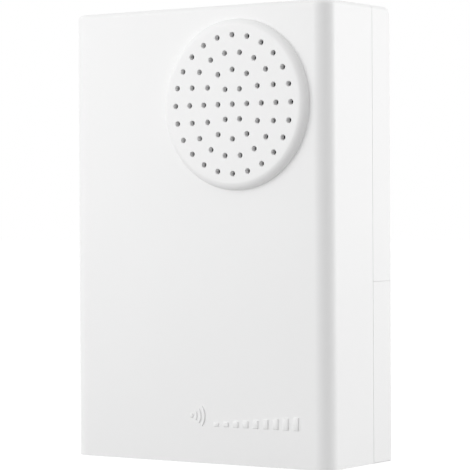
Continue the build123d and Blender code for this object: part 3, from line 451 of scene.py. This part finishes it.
def banded_finish(name, axis, start, bands, roughness):
    """Bands along an axis from start, each a (width in mm, colour, metallic) of its own."""
    material, tree = empty_material(name)
    place = add_node(tree, "ShaderNodeTexCoord").outputs["Object"]
    parts = add_node(tree, "ShaderNodeSeparateXYZ", links={"Vector": place})
    total = sum(width for width, _, _ in bands) * MM
    along = add_node(
        tree,
        "ShaderNodeMapRange",
        inputs={"From Min": start, "From Max": start + total},
        links={"Value": parts.outputs[axis]},
    )
    ramp = add_node(tree, "ShaderNodeValToRGB", links={"Fac": along.outputs[0]})
    ramp.color_ramp.interpolation = "CONSTANT"
    stops = ramp.color_ramp.elements
    reached = 0.0
    for count, (width, code, metallic) in enumerate(bands):
        # A new ramp has two stops already
        stop = stops[count] if count < 2 else stops.new(reached)
        stop.position = reached
        stop.color = (*linear(code), metallic)
        reached += width * MM / total
    shader = add_node(
        tree,
        "ShaderNodeBsdfPrincipled",
        inputs={"Roughness": roughness},
        links={"Base Color": ramp.outputs["Color"], "Metallic": ramp.outputs["Alpha"]},
    )
    add_node(tree, "ShaderNodeOutputMaterial", links={"Surface": shader.outputs["BSDF"]})
    return material


def slot_finishes():
    """The finish of each material slot that CAD meshes carry."""
    return {
        # Closed-cell foam, die cut: dull, with fine open bubbles on its cut edge
        "foam": finish_of("foam_closed_cell_charcoal", linear("#3B3C3E"), 0.95, grain=0.35, depth=0.06),
        # Butyl rubber from a polished mould: a soft, even sheen
        "rubber_black": finish_of(
            "rubber_butyl_moulded_black", linear("#1B1B1C"), 0.5, grain=0.4, depth=0.002
        ),
        # Pressed paper pulp, dyed through: matt, with felted fibres
        "paper_black": finish_of("paper_pulp_pressed_black", linear("#272624"), 0.9, grain=0.5, depth=0.03),
        # Cotton cloth stiffened with phenolic resin: an amber weave with a faint gloss, and painted shade
        # between its threads
        "cloth_amber": ridged_finish(
            "cotton_phenolic_amber", linear("#B47C36"), 0.6, ("X", "Z"), 0.45, 0.05
        ),
        # Kraft paper tube, lacquered: brown, with a weak sheen over the paper's grain
        "former_brown": finish_of(
            "paper_kraft_lacquered_brown", linear("#8A5A2B"), 0.5, grain=0.6, depth=0.01
        ),
        # Enamelled copper wire, close wound: bright ridges from turn to turn, and painted shade in the
        # grooves between
        "copper": ridged_finish(
            "copper_wire_enamelled", linear("#C0703F"), 0.3, ("Y",), 0.14, 0.05, metallic=1.0
        ),
        # Deep-drawn sheet steel, zinc plated: bright, with the sheet's faint orange peel
        "steel_plated": finish_of(
            "steel_sheet_zinc_plated", linear("#B9BBBD"), 0.32, 1.0, grain=1.5, depth=0.004
        ),
        # Sintered ferrite, its faces ground: dark and dull with fine parallel marks
        "ferrite": finish_of(
            "ferrite_sintered_ground_grey", linear("#3B3B3D"), 0.6, grain=0.6, depth=0.006,
            stretch=(1, 1, 9),
        ),
        # Paper laminate punched from a sheet: dark brown, smooth and half matt
        "laminate_brown": finish_of(
            "laminate_phenolic_brown", linear("#6B4024"), 0.5, grain=0.8, depth=0.004
        ),
        # Single-sided paper board: tan, with the paper's fibres showing through the resin
        "board_tan": finish_of(
            "laminate_phenolic_tan", linear("#B58C54"), 0.42, grain=0.9, depth=0.004, drift=0.12,
            stretch=(1, 1, 4),
        ),
        # Brass punched from strip and dipped in tin: bright and slightly wavy
        "tinned_brass": finish_of(
            "brass_strip_tinned", linear("#C8C6BE"), 0.25, 1.0, grain=0.8, depth=0.01
        ),
        # Cold-headed steel with bright zinc: a cool silver with a fine grain
        "screw_steel": finish_of(
            "steel_screw_zinc_plated", linear("#BFC1C5"), 0.27, 1.0, grain=0.5, depth=0.003
        ),
        # Glass-filled nylon, moulded: a plain satin green
        "terminal_green": finish_of("nylon_moulded_green", linear("#2E8249"), 0.4, grain=0.3, depth=0.003),
        # Spring steel plated with nickel: bright, faintly warm
        "spring_nickel": finish_of(
            "steel_spring_nickel_plated", linear("#C6C3BA"), 0.24, 1.0, grain=0.9, depth=0.003
        ),
        # Soft extruded vinyl round a stranded core: even colour with a soft gloss
        "lead_red": finish_of(
            "vinyl_extruded_red", linear("#B0241E"), 0.4, grain=0.5, depth=0.004, drift=0.05
        ),
        "lead_black": finish_of(
            "vinyl_extruded_black", linear("#232425"), 0.42, grain=0.5, depth=0.004, drift=0.05
        ),
        # Ceramic discs dipped in ochre lacquer, a little thick at the rim
        "disc_ochre": finish_of(
            "ceramic_disc_lacquered_ochre", linear("#B36D2B"), 0.38, grain=0.7, depth=0.02
        ),
        # Epoxy: a cured drop is glossy and uneven
        "epoxy_black": finish_of("epoxy_drop_black", linear("#1B1B1D"), 0.35, grain=1.2, depth=0.03),
    }


def banded_finishes():
    """The finishes of the parts whose body, sleeve or bands differ from their legs or ends."""
    tin = "#C5C5C0"
    black = "#222224"
    beige = "#C6AB80"
    amplifier_low, amplifier_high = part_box("amplifier_chip")
    leg_reach = 0.96
    body_width = (amplifier_high.z - amplifier_low.z) / MM - 2 * leg_reach
    transistor_low, transistor_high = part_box("transistors")
    leg_length = 2.0
    capacitor_low, capacitor_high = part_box("capacitors")
    can_height = (capacitor_high.y - capacitor_low.y) / MM
    bare_top = 0.1
    resistor_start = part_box("resistors")[0].x
    wire_reach = 1.25
    return {
        # Moulded epoxy between two rows of tinned legs: dull black between bright strips
        "amplifier_chip": banded_finish(
            "epoxy_moulded_tinned_legs", "Z", amplifier_low.z,
            [(leg_reach, tin, 1.0), (body_width, black, 0.0), (leg_reach, tin, 1.0)], 0.45,
        ),
        # Moulded epoxy on three tinned legs: dull black above bright wires
        "transistors": banded_finish(
            "epoxy_moulded_on_tinned_legs", "Y", transistor_low.y,
            [(leg_length, tin, 1.0), ((transistor_high.y - transistor_low.y) / MM, black, 0.0)], 0.5,
        ),
        # A shrunk vinyl sleeve on an aluminium can: glossy black with a bare bright top
        "capacitors": banded_finish(
            "vinyl_shrunk_black_on_aluminium", "Y", capacitor_low.y,
            [(can_height - bare_top, "#26272B", 0.0), (1.0, "#C9CACC", 1.0)], 0.35,
        ),
        # Beige lacquer with painted value bands between tinned wires: smooth, with an even gloss
        "resistors": banded_finish(
            "lacquer_beige_banded", "X", resistor_start,
            [
                (wire_reach, tin, 1.0), (0.9, beige, 0.0), (0.6, "#6A3A20", 0.0), (0.5, beige, 0.0),
                (0.6, "#1D1D1D", 0.0), (0.5, beige, 0.0), (0.6, "#C4552A", 0.0), (1.1, beige, 0.0),
                (0.5, "#A88732", 1.0), (0.7, beige, 0.0), (wire_reach, tin, 1.0),
            ],
            0.4,
        ),
    }


def cell_finish(name, colour, metallic=0.0, coat=0.0):
    """A cell's printed film, glossy and drawn tight over the can, or the bright nickel of its ends."""
    return finish_of(name, colour, 0.28, metallic, grain=6.0, depth=0.01, drift=0.02, coat=coat)


def add_piece(name, bm, materials, body, replaced=()):
    """Makes a finished mesh a piece that rides on a body and stands for the CAD nodes named."""
    mesh = bpy.data.meshes.new(name)
    bm.to_mesh(mesh)
    bm.free()
    piece = bpy.data.objects.new(name, mesh)
    bpy.context.scene.collection.objects.link(piece)
    for material in materials:
        mesh.materials.append(material)
    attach(piece, body)
    if replaced:
        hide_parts(*replaced)
    return piece


def shade(bm, sharp_angle=math.radians(28)):
    """Shades every face smooth and keeps the edges sharp that turn by more than an angle."""
    for face in bm.faces:
        face.smooth = True
    for edge in bm.edges:
        edge.smooth = edge.is_manifold and edge.calc_face_angle() < sharp_angle


def merged_copy(node):
    """A copy of a CAD node's mesh with its loose triangles merged and its flat faces whole."""
    bm = bmesh.new()
    bm.from_mesh(frame["nodes"][node].data)
    bmesh.ops.remove_doubles(bm, verts=bm.verts, dist=LOOSE_MERGE)
    bmesh.ops.dissolve_limit(
        bm,
        angle_limit=math.radians(0.2),
        verts=bm.verts,
        edges=bm.edges,
        use_dissolve_boundaries=False,
    )
    return bm


def round_edges(bm, edges, radius, segments=3):
    """Rounds those edges of a mesh."""
    bmesh.ops.bevel(
        bm,
        geom=edges,
        offset=radius,
        offset_type="OFFSET",
        affect="EDGES",
        segments=segments,
        profile=0.5,
        material=-1,
        clamp_overlap=True,
    )


def keep_flats_flat(piece):
    """Lets the large faces set the normals, so that light doesn't bend at the rounded edges."""
    weighted = piece.modifiers.new("weighted_normals", "WEIGHTED_NORMAL")
    weighted.mode = "FACE_AREA"
    weighted.weight = 50
    weighted.keep_sharp = True


def rims_at(bm, axis, level):
    """The steep edges that lie at one level along an axis."""
    return [
        edge
        for edge in bm.edges
        if all(abs(v.co[axis] - level) < LEVEL_SLACK for v in edge.verts)
        and edge.calc_face_angle(0) > RIM_TURN
    ]


def case_outline(bm, axis, level):
    """The steep edges at one level along an axis that run round the outside of the case."""
    skin = Vector((CASE_SKIN, CASE_SKIN, CASE_SKIN))
    inner_low = cad_low + skin
    inner_high = cad_high - skin
    across = [k for k in (ALONG_X, ALONG_Y, ALONG_Z) if k != axis]

    def outside(point):
        return any(point[k] < inner_low[k] or point[k] > inner_high[k] for k in across)

    return [edge for edge in rims_at(bm, axis, level) if all(outside(v.co) for v in edge.verts)]


def lathe(bm, outline, centre, axis, sides):
    """Turns an outline of (radius, distance along the axis) points in metres, and gives its faces."""
    out = axis.orthogonal().normalized()
    points = [bm.verts.new(centre + out * radius + axis * height) for radius, height in outline]
    edges = [bm.edges.new(pair) for pair in zip(points, points[1:])]
    before = set(bm.faces)
    bmesh.ops.spin(
        bm,
        geom=points + edges,
        cent=centre,
        axis=axis,
        angle=2 * math.pi,
        steps=sides,
        use_merge=True,
    )
    made = [face for face in bm.faces if face not in before]
    corners = {vert for face in made for vert in face.verts} | set(points)
    bmesh.ops.remove_doubles(bm, verts=[v for v in corners if v.is_valid], dist=TURNED_MERGE)
    return [face for face in bm.faces if face not in before]


def press_recess(bm, top, centre, axis, arms, half_length, half_width, depth):
    """Presses one slot (arms 1) or a tapered cross (arms 2) into a flat face."""
    across = axis.orthogonal().normalized()
    along = axis.cross(across)
    region = [top]
    for direction in (across, along):
        for distance in (-half_length, -half_width, half_width, half_length):
            geom = set(region)
            geom.update(edge for face in region for edge in face.edges)
            geom.update(vert for face in region for vert in face.verts)
            cut = bmesh.ops.bisect_plane(
                bm, geom=list(geom), plane_co=centre + direction * distance, plane_no=direction
            )
            region = [item for item in cut["geom"] if isinstance(item, bmesh.types.BMFace)]

    def in_arm(face):
        offset = face.calc_center_median() - centre
        a, b = abs(offset.dot(across)), abs(offset.dot(along))
        first = a < half_length and b < half_width
        second = b < half_length and a < half_width
        return first or (arms == 2 and second)

    floor = [face for face in region if in_arm(face)]
    made = bmesh.ops.extrude_face_region(bm, geom=floor)["geom"]
    bmesh.ops.delete(bm, geom=[face for face in floor if face.is_valid], context="FACES_ONLY")
    bottom = [item for item in made if isinstance(item, bmesh.types.BMVert)]
    bmesh.ops.translate(bm, verts=bottom, vec=-axis * depth)
    if arms == 2:
        taper = Matrix.Scale(RECESS_TAPER, 4)
        shrink = Matrix.Translation(centre) @ taper @ Matrix.Translation(-centre)
        lifted = {vert: vert.co.dot(axis) for vert in bottom}
        bmesh.ops.transform(bm, matrix=shrink, verts=bottom)
        for vert in bottom:
            vert.co += axis * (lifted[vert] - vert.co.dot(axis))


def pan_screw(bm, settings, under_head, axis, size, arms):
    """A cold-headed pan-head screw with a rolled thread; the axis points from shank to head."""
    shank, length, head, height = size
    depth = min(settings.thread_depth, shank * DEEPEST_THREAD)
    pitch = min(settings.thread_pitch, shank * WIDEST_PITCH)
    core = shank - depth
    point = POINT_LENGTH * shank
    faces = lathe(
        bm,
        [
            *((head * across, height * up) for across, up in HEAD_OUTLINE),
            (core, 0),
            (core, point - length),
            (POINT_RADIUS * shank, -length),
            (0, -length),
        ],
        under_head,
        axis,
        sides=HEAD_SIDES,
    )
    level = under_head + axis * height
    rim = [
        edge
        for edge in {edge for face in faces for edge in face.edges}
        if edge.is_boundary and abs((edge.verts[0].co - level).dot(axis)) < LOOSE_MERGE
    ]
    flat = bmesh.ops.contextual_create(bm, geom=rim)["faces"][0]
    reach_share = settings.recess_reach if arms == 2 else SLOT_REACH
    press_recess(
        bm, flat, level, axis, arms, head * reach_share, head * settings.recess_width,
        height * settings.recess_depth,
    )

    out = axis.orthogonal().normalized()
    start = under_head + axis * (point - length)
    reach = length - point - THREAD_RUN_OUT * pitch
    foot = core - RIDGE_FOOT * depth
    half_foot = RIDGE_FOOT * pitch
    ridge = [
        bm.verts.new(start + out * radius + axis * step)
        for radius, step in ((foot, -half_foot), (shank, 0), (foot, half_foot))
    ]
    ridge_edges = [bm.edges.new(pair) for pair in zip(ridge, ridge[1:])]
    turns = reach / pitch
    steps = round(STEPS_A_TURN * turns)
    bmesh.ops.spin(
        bm,
        geom=ridge + ridge_edges,
        cent=start,
        axis=axis,
        dvec=axis * (reach / steps),
        angle=2 * math.pi * turns,
        steps=steps,
    )


def screw_set(name, node, places, head_top, axis, size, arms=2):
    """Makes the screws that stand for one CAD node, at (x, z) places with their heads' tops at one
    depth; the axis points from shank to head."""
    settings = bpy.context.scene.chime_screws
    axis = Vector(axis)
    bm = bmesh.new()
    for x, z in places:
        under_head = Vector((x, head_top, z)) - axis * size.height
        pan_screw(bm, settings, under_head, axis, size, arms)
    bmesh.ops.recalc_face_normals(bm, faces=bm.faces)
    shade(bm, math.radians(40))
    return add_piece(
        name, bm, [bpy.data.materials["steel_screw_zinc_plated"]], "housing", [node]
    )


def box_corners(node, inset):
    """The (x, z) places at the corners of a node's box, set in by a distance."""
    low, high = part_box(node)
    return [
        (x, z) for x in (low.x + inset, high.x - inset) for z in (low.z + inset, high.z - inset)
    ]


class CHIME_OT_front_cover(bpy.types.Operator):
    """Dress the front cover with its grille"""

    bl_idname = "chime.front_cover"
    bl_label = "Front cover"

    def execute(self, context):
        plastic = context.scene.chime_plastic
        bm = merged_copy("front_cover")
        low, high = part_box("front_cover")
        round_edges(bm, rims_at(bm, ALONG_Y, low.y), plastic.hole_rounding, segments=2)
        round_edges(bm, case_outline(bm, ALONG_Y, high.y), plastic.seam_rounding)
        shade(bm)
        piece = add_piece(
            "front_moulding", bm, [bpy.data.materials["abs_moulded_satin_white"]], "housing",
            ["front_cover"],
        )
        keep_flats_flat(piece)
        return {"FINISHED"}


class CHIME_OT_loudness_motif(bpy.types.Operator):
    """Raise the loudness motif on the front: sound waves beside a row of rising bars"""

    bl_idname = "chime.loudness_motif"
    bl_label = "Loudness motif"

    def execute(self, context):
        motif = context.scene.chime_motif
        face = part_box("front_cover")[0].y + GRILLE_RISE
        root = 0.2 * MM
        front = face - motif.relief
        back = face + root
        bm = bmesh.new()

        for count in range(motif.bars):
            grown = count / (motif.bars - 1)
            height = motif.lowest_bar + (motif.highest_bar - motif.lowest_bar) * grown
            x = motif.first_bar + count * motif.bar_pitch
            place = Matrix.Translation((x, (front + back) / 2, motif.base + height / 2))
            size = Matrix.Diagonal((motif.bar_width, back - front, height, 1))
            bmesh.ops.create_cube(bm, size=1, matrix=place @ size)

        largest = motif.first_wave + (motif.waves - 1) * motif.wave_pitch
        source = Vector((motif.left, 0, motif.base + largest * math.sin(motif.wave_spread / 2)))
        forward = Vector((0, -1, 0))
        for count in range(motif.waves):
            radius = motif.first_wave + count * motif.wave_pitch
            inner = radius - motif.wave_width / 2
            outer = radius + motif.wave_width / 2
            outline = [(inner, back), (inner, front), (outer, front), (outer, back)]
            turn = Matrix.Rotation(motif.wave_spread / 2, 3, "Y")
            corners = [bm.verts.new(source + turn @ Vector((r, y, 0))) for r, y in outline]
            end = bm.faces.new(corners)
            bmesh.ops.spin(
                bm,
                geom=[end, *end.edges, *corners],
                cent=source,
                axis=forward,
                angle=motif.wave_spread,
                steps=16,
            )
        bmesh.ops.holes_fill(bm, edges=[edge for edge in bm.edges if edge.is_boundary], sides=4)
        lathe(
            bm,
            [(0, -front), (motif.wave_width, -front), (motif.wave_width, -back)],
            Vector((source.x, 0, source.z)),
            forward,
            sides=24,
        )
        bmesh.ops.recalc_face_normals(bm, faces=bm.faces)
        round_edges(bm, rims_at(bm, ALONG_Y, front), motif.rounding, segments=2)
        shade(bm, math.radians(50))
        add_piece(
            "loudness_motif", bm, [bpy.data.materials["abs_moulded_satin_white"]], "housing"
        )
        return {"FINISHED"}


class CHIME_OT_rear_cover(bpy.types.Operator):
    """Dress the rear cover"""

    bl_idname = "chime.rear_cover"
    bl_label = "Rear cover"

    def execute(self, context):
        plastic = context.scene.chime_plastic
        bm = merged_copy("rear_cover")
        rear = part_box("rear_cover")[1].y
        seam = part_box("front_cover")[1].y + UPRIGHT_SEAM
        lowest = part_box("battery_cover")[1].z - TAB_HEIGHT + LEVEL_SEAM
        round_edges(bm, rims_at(bm, ALONG_Y, rear), plastic.rim_rounding, segments=2)
        round_edges(bm, case_outline(bm, ALONG_Y, seam), plastic.seam_rounding)
        round_edges(bm, case_outline(bm, ALONG_Z, lowest), plastic.seam_rounding)
        shade(bm)
        piece = add_piece(
            "rear_moulding", bm, [bpy.data.materials["abs_moulded_satin_white"]], "housing",
            ["rear_cover"],
        )
        keep_flats_flat(piece)
        return {"FINISHED"}


class CHIME_OT_battery_cover(bpy.types.Operator):
    """Dress the sliding battery cover"""

    bl_idname = "chime.battery_cover"
    bl_label = "Battery cover"

    def execute(self, context):
        plastic = context.scene.chime_plastic
        bm = merged_copy("battery_cover")
        low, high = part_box("battery_cover")
        foot = [
            edge
            for edge in case_outline(bm, ALONG_Z, low.z)
            if max(v.co.y for v in edge.verts) > low.y + plastic.seam_rounding
        ]
        round_edges(bm, foot, plastic.foot_rounding)
        round_edges(bm, rims_at(bm, ALONG_Y, high.y), plastic.rim_rounding, segments=2)
        round_edges(bm, case_outline(bm, ALONG_Y, low.y), plastic.seam_rounding)
        round_edges(bm, case_outline(bm, ALONG_Z, high.z - TAB_HEIGHT), plastic.seam_rounding)
        shade(bm)
        piece = add_piece(
            "battery_moulding", bm, [bpy.data.materials["abs_moulded_satin_white"]], "battery_cover",
            ["battery_cover"],
        )
        keep_flats_flat(piece)
        return {"FINISHED"}


class CHIME_OT_screws(bpy.types.Operator):
    """Make the screws of the case, the loudspeaker, the board and the terminals"""

    bl_idname = "chime.screws"
    bl_label = "Screws"

    def execute(self, context):
        rearward, frontward = (0, 1, 0), (0, -1, 0)
        screw_set(
            "case_fixings", "case_screws", box_corners("case_screws", CASE_SCREW.head),
            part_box("case_screws")[1].y, rearward, CASE_SCREW,
        )

        gasket_low, gasket_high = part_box("speaker_gasket")
        middle = (gasket_low + gasket_high) / 2
        ring = [
            middle + Matrix.Rotation(-math.radians(angle), 3, "Y") @ Vector((RETAINER_CIRCLE, 0, 0))
            for angle in RETAINER_ANGLES
        ]
        screw_set(
            "retainer_fixings", "retainer_screws", [(place.x, place.z) for place in ring],
            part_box("retainer_screws")[1].y, rearward, SMALL_SCREW,
        )

        screw_set(
            "board_fixings", "board_screws", box_corners("board_screws", SMALL_SCREW.head),
            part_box("board_screws")[0].y, frontward, SMALL_SCREW,
        )

        low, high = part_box("terminal_screws")
        level = (low.z + high.z) / 2
        screw_set(
            "terminal_fixings", "terminal_screws",
            [(low.x + CLAMP_SCREW.head, level), (high.x - CLAMP_SCREW.head, level)],
            high.y, rearward, CLAMP_SCREW, arms=1,
        )
        return {"FINISHED"}


class CHIME_OT_cells(bpy.types.Operator):
    """Make the three AA cells in their printed sleeves"""

    bl_idname = "chime.cells"
    bl_label = "Cells"

    def execute(self, context):
        cell = context.scene.chime_cells
        finishes = [
            cell_finish("film_printed_slate", cell.sleeve_colour, coat=0.4),
            cell_finish("film_printed_silver", cell.band_colour, coat=0.4),
            cell_finish("steel_can_nickel_plated", cell.metal_colour, metallic=1.0),
        ]
        sleeve, printed_band, metal = range(3)
        # The bare ends lie a little below the sleeve, which is folded over their margin
        dip = 0.15 * MM
        end_depth = 1.2 * dip
        sleeve_overlap = 0.5 * MM
        nub_bevel = 0.4 * MM
        fold_steps = 4
        for node, way in (("cell_lower", 1), ("cell_middle", -1), ("cell_upper", 1)):
            low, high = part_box(node)
            length = high.x - low.x
            middle = (low + high) / 2
            tip = middle + Vector((way * length / 2, 0, 0))
            shoulder = cell.nub_height
            fold = cell.sleeve_fold
            inner = cell.radius - fold
            bare_reach = inner - sleeve_overlap
            turns = [math.radians(90 * k / fold_steps) for k in range(fold_steps + 1)]
            plus_fold = [
                (inner + fold * math.sin(turn), shoulder + fold - fold * math.cos(turn)) for turn in turns
            ]
            minus_fold = [
                (inner + fold * math.cos(turn), length - fold + fold * math.sin(turn)) for turn in turns
            ]
            band = shoulder + cell.band_start
            outline = [
                (0, 0), (cell.nub_radius - nub_bevel, 0), (cell.nub_radius, nub_bevel),
                (cell.nub_radius, shoulder + dip), (bare_reach, shoulder + dip),
                *plus_fold,
                (cell.radius, band), (cell.radius, band + cell.band_width),
                *minus_fold,
                (bare_reach, length - dip), (0, length - dip),
            ]
            bm = bmesh.new()
            axis = Vector((-way, 0, 0))
            lathe(bm, outline, tip, axis, sides=64)
            bmesh.ops.recalc_face_normals(bm, faces=bm.faces)
            for face in bm.faces:
                offset = face.calc_center_median() - tip
                height = offset.dot(axis)
                reach = (offset - axis * height).length
                at_end = height < shoulder + end_depth or height > length - end_depth
                if at_end and reach < bare_reach:
                    face.material_index = metal
                elif band < height < band + cell.band_width:
                    face.material_index = printed_band
                else:
                    face.material_index = sleeve
            shade(bm, math.radians(35))
            add_piece(f"{node}_dressed", bm, finishes, "housing", [node])
        return {"FINISHED"}


class CHIME_OT_stage(bpy.types.Operator):
    """Set up the camera, the lamps, the floor and the backdrop"""

    bl_idname = "chime.stage"
    bl_label = "Studio"

    def lamp(self, name, place, target, size, power):
        """A square soft lamp that faces a point."""
        light = bpy.data.lights.new(name, "AREA")
        light.shape = "SQUARE"
        light.size = size
        light.energy = power
        lamp = bpy.data.objects.new(name, light)
        lamp.location = place
        lamp.rotation_euler = (Vector(target) - Vector(place)).to_track_quat("-Z", "Y").to_euler()
        bpy.context.scene.collection.objects.link(lamp)

    def seen_directly(self, tree):
        """A socket that is 1 for what the camera sees, also in metal and through glass."""
        path = add_node(tree, "ShaderNodeLightPath")
        mirrored = add_node(tree, "ShaderNodeMath", operation="MAXIMUM")
        tree.links.new(path.outputs["Is Glossy Ray"], mirrored.inputs[0])
        tree.links.new(path.outputs["Is Transmission Ray"], mirrored.inputs[1])
        seen = add_node(tree, "ShaderNodeMath", operation="MAXIMUM")
        tree.links.new(path.outputs["Is Camera Ray"], seen.inputs[0])
        tree.links.new(mirrored.outputs[0], seen.inputs[1])
        return seen.outputs[0]

    def set_camera(self, scene, stage):
        """Stands the camera where the photograph was taken from."""
        camera_data = bpy.data.cameras.new("photo_camera")
        camera_data.lens = stage.lens
        camera_data.sensor_width = 36
        camera_data.clip_start = 0.01
        camera_data.clip_end = 50
        camera = bpy.data.objects.new("photo_camera", camera_data)
        scene.collection.objects.link(camera)
        camera.matrix_world = (
            Matrix.Translation(stage.camera_place)
            @ Matrix.Rotation(stage.camera_turn, 4, "Z")
            @ Matrix.Rotation(math.pi / 2 + stage.camera_rise, 4, "X")
            @ Matrix.Rotation(stage.camera_roll, 4, "Z")
        )
        scene.camera = camera

    def set_lamps(self, stage):
        """Lights the chime from the left in front, and from the right behind."""
        # Each lamp's turn from the front and its rise in degrees, its distance and side in metres
        for name, turn, rise, distance, size, power in (
            ("key_lamp", -30, 20, 0.6, 0.4, stage.key_power),
            ("low_lamp", -50, 5, 0.6, 0.4, stage.low_power),
            ("back_lamp", 130, 10, 1.0, 0.6, stage.back_power),
        ):
            turn, rise = math.radians(turn), math.radians(rise)
            towards = Vector(
                (math.sin(turn) * math.cos(rise), -math.cos(turn) * math.cos(rise), math.sin(rise))
            )
            middle = Vector((0, 0, (cad_low.z + cad_high.z) / 2))
            self.lamp(name, middle + towards * distance, middle, size, power)

    def set_backdrop(self, scene, stage):
        """Puts even light all round, and white where the camera sees past the chime."""
        world = bpy.data.worlds.new("white_studio")
        scene.world = world
        world.use_nodes = True
        tree = world.node_tree
        tree.nodes.clear()
        around = add_node(
            tree, "ShaderNodeBackground", inputs={"Color": (1, 1, 1, 1), "Strength": stage.fill}
        )
        white = add_node(tree, "ShaderNodeBackground", inputs={"Color": (1, 1, 1, 1), "Strength": 1.0})
        either = add_node(tree, "ShaderNodeMixShader", links={"Fac": self.seen_directly(tree)})
        tree.links.new(around.outputs[0], either.inputs[1])
        tree.links.new(white.outputs[0], either.inputs[2])
        add_node(tree, "ShaderNodeOutputWorld", links={"Surface": either.outputs[0]})

    def set_floor(self, scene, stage):
        """Lays the floor that the chime stands on."""
        floor_reach = 6.0
        bm = bmesh.new()
        bmesh.ops.create_grid(bm, x_segments=1, y_segments=1, size=floor_reach)
        mesh = bpy.data.meshes.new("floor")
        bm.to_mesh(mesh)
        bm.free()
        floor = bpy.data.objects.new("floor", mesh)
        scene.collection.objects.link(floor)
        # Matt pale paint: it keeps the object's shadow, and is lifted to white where the camera sees it
        material, tree = empty_material("painted_floor_white")
        paint = add_node(
            tree,
            "ShaderNodeBsdfDiffuse",
            inputs={"Color": opaque(stage.floor_colour), "Roughness": 0.0},
        )
        strength = add_node(
            tree,
            "ShaderNodeMath",
            operation="MULTIPLY",
            inputs={1: stage.floor_lift},
            links={0: self.seen_directly(tree)},
        )
        lift = add_node(
            tree,
            "ShaderNodeEmission",
            inputs={"Color": (1, 1, 1, 1)},
            links={"Strength": strength.outputs[0]},
        )
        both = add_node(tree, "ShaderNodeAddShader")
        tree.links.new(paint.outputs[0], both.inputs[0])
        tree.links.new(lift.outputs[0], both.inputs[1])
        add_node(tree, "ShaderNodeOutputMaterial", links={"Surface": both.outputs[0]})
        mesh.materials.append(material)

    def execute(self, context):
        scene = context.scene
        stage = scene.chime_stage
        scene.view_settings.view_transform = "Standard"
        self.set_camera(scene, stage)
        self.set_lamps(stage)
        self.set_backdrop(scene, stage)
        self.set_floor(scene, stage)
        return {"FINISHED"}


class CHIME_OT_inner_parts(bpy.types.Operator):
    """Give the inner parts their finishes"""

    bl_idname = "chime.inner_parts"
    bl_label = "Inner parts"

    def execute(self, context):
        by_slot = slot_finishes()
        by_node = banded_finishes()
        for part in frame["record"]["subparts"]:
            name = part["node"]
            material = by_node.get(name) or by_slot.get(part["material_slot"])
            if part["material_slot"] in ("abs_white", "cell_wrap"):
                material = bpy.data.materials["abs_moulded_satin_white"]
            node = frame["nodes"][name]
            node.data.materials.clear()
            node.data.materials.append(material)
        return {"FINISHED"}


class CHIME_PT_panel(bpy.types.Panel):
    """Lists the chime's operators"""

    bl_idname = "CHIME_PT_panel"
    bl_label = "Door chime"
    bl_space_type = "VIEW_3D"
    bl_region_type = "UI"
    bl_category = "Chime"

    def draw(self, context):
        for operator in OPERATORS:
            self.layout.operator(operator.bl_idname)


SETTINGS = {
    "chime_plastic": ChimePlasticSettings,
    "chime_motif": ChimeMotifSettings,
    "chime_screws": ChimeScrewSettings,
    "chime_cells": ChimeCellSettings,
    "chime_stage": ChimeStageSettings,
}
OPERATORS = (
    CHIME_OT_stage,
    CHIME_OT_inner_parts,
    CHIME_OT_front_cover,
    CHIME_OT_loudness_motif,
    CHIME_OT_rear_cover,
    CHIME_OT_battery_cover,
    CHIME_OT_screws,
    CHIME_OT_cells,
)
CLASSES = (*SETTINGS.values(), *OPERATORS, CHIME_PT_panel)


def register():
    """Registers the classes and hangs their settings on the scene."""
    for cls in CLASSES:
        bpy.utils.register_class(cls)
    for name, cls in SETTINGS.items():
        setattr(bpy.types.Scene, name, PointerProperty(type=cls))


def unregister():
    """Takes the settings off the scene and unregisters the classes."""
    for name in SETTINGS:
        delattr(bpy.types.Scene, name)
    for cls in reversed(CLASSES):
        bpy.utils.unregister_class(cls)


def main():
    """Builds the dressed chime and its studio."""
    register()
    moulded_abs(bpy.context.scene.chime_plastic)
    for operator in OPERATORS:
        group, name = operator.bl_idname.split(".")
        getattr(getattr(bpy.ops, group), name)()


if __name__ == "__main__":
    main()
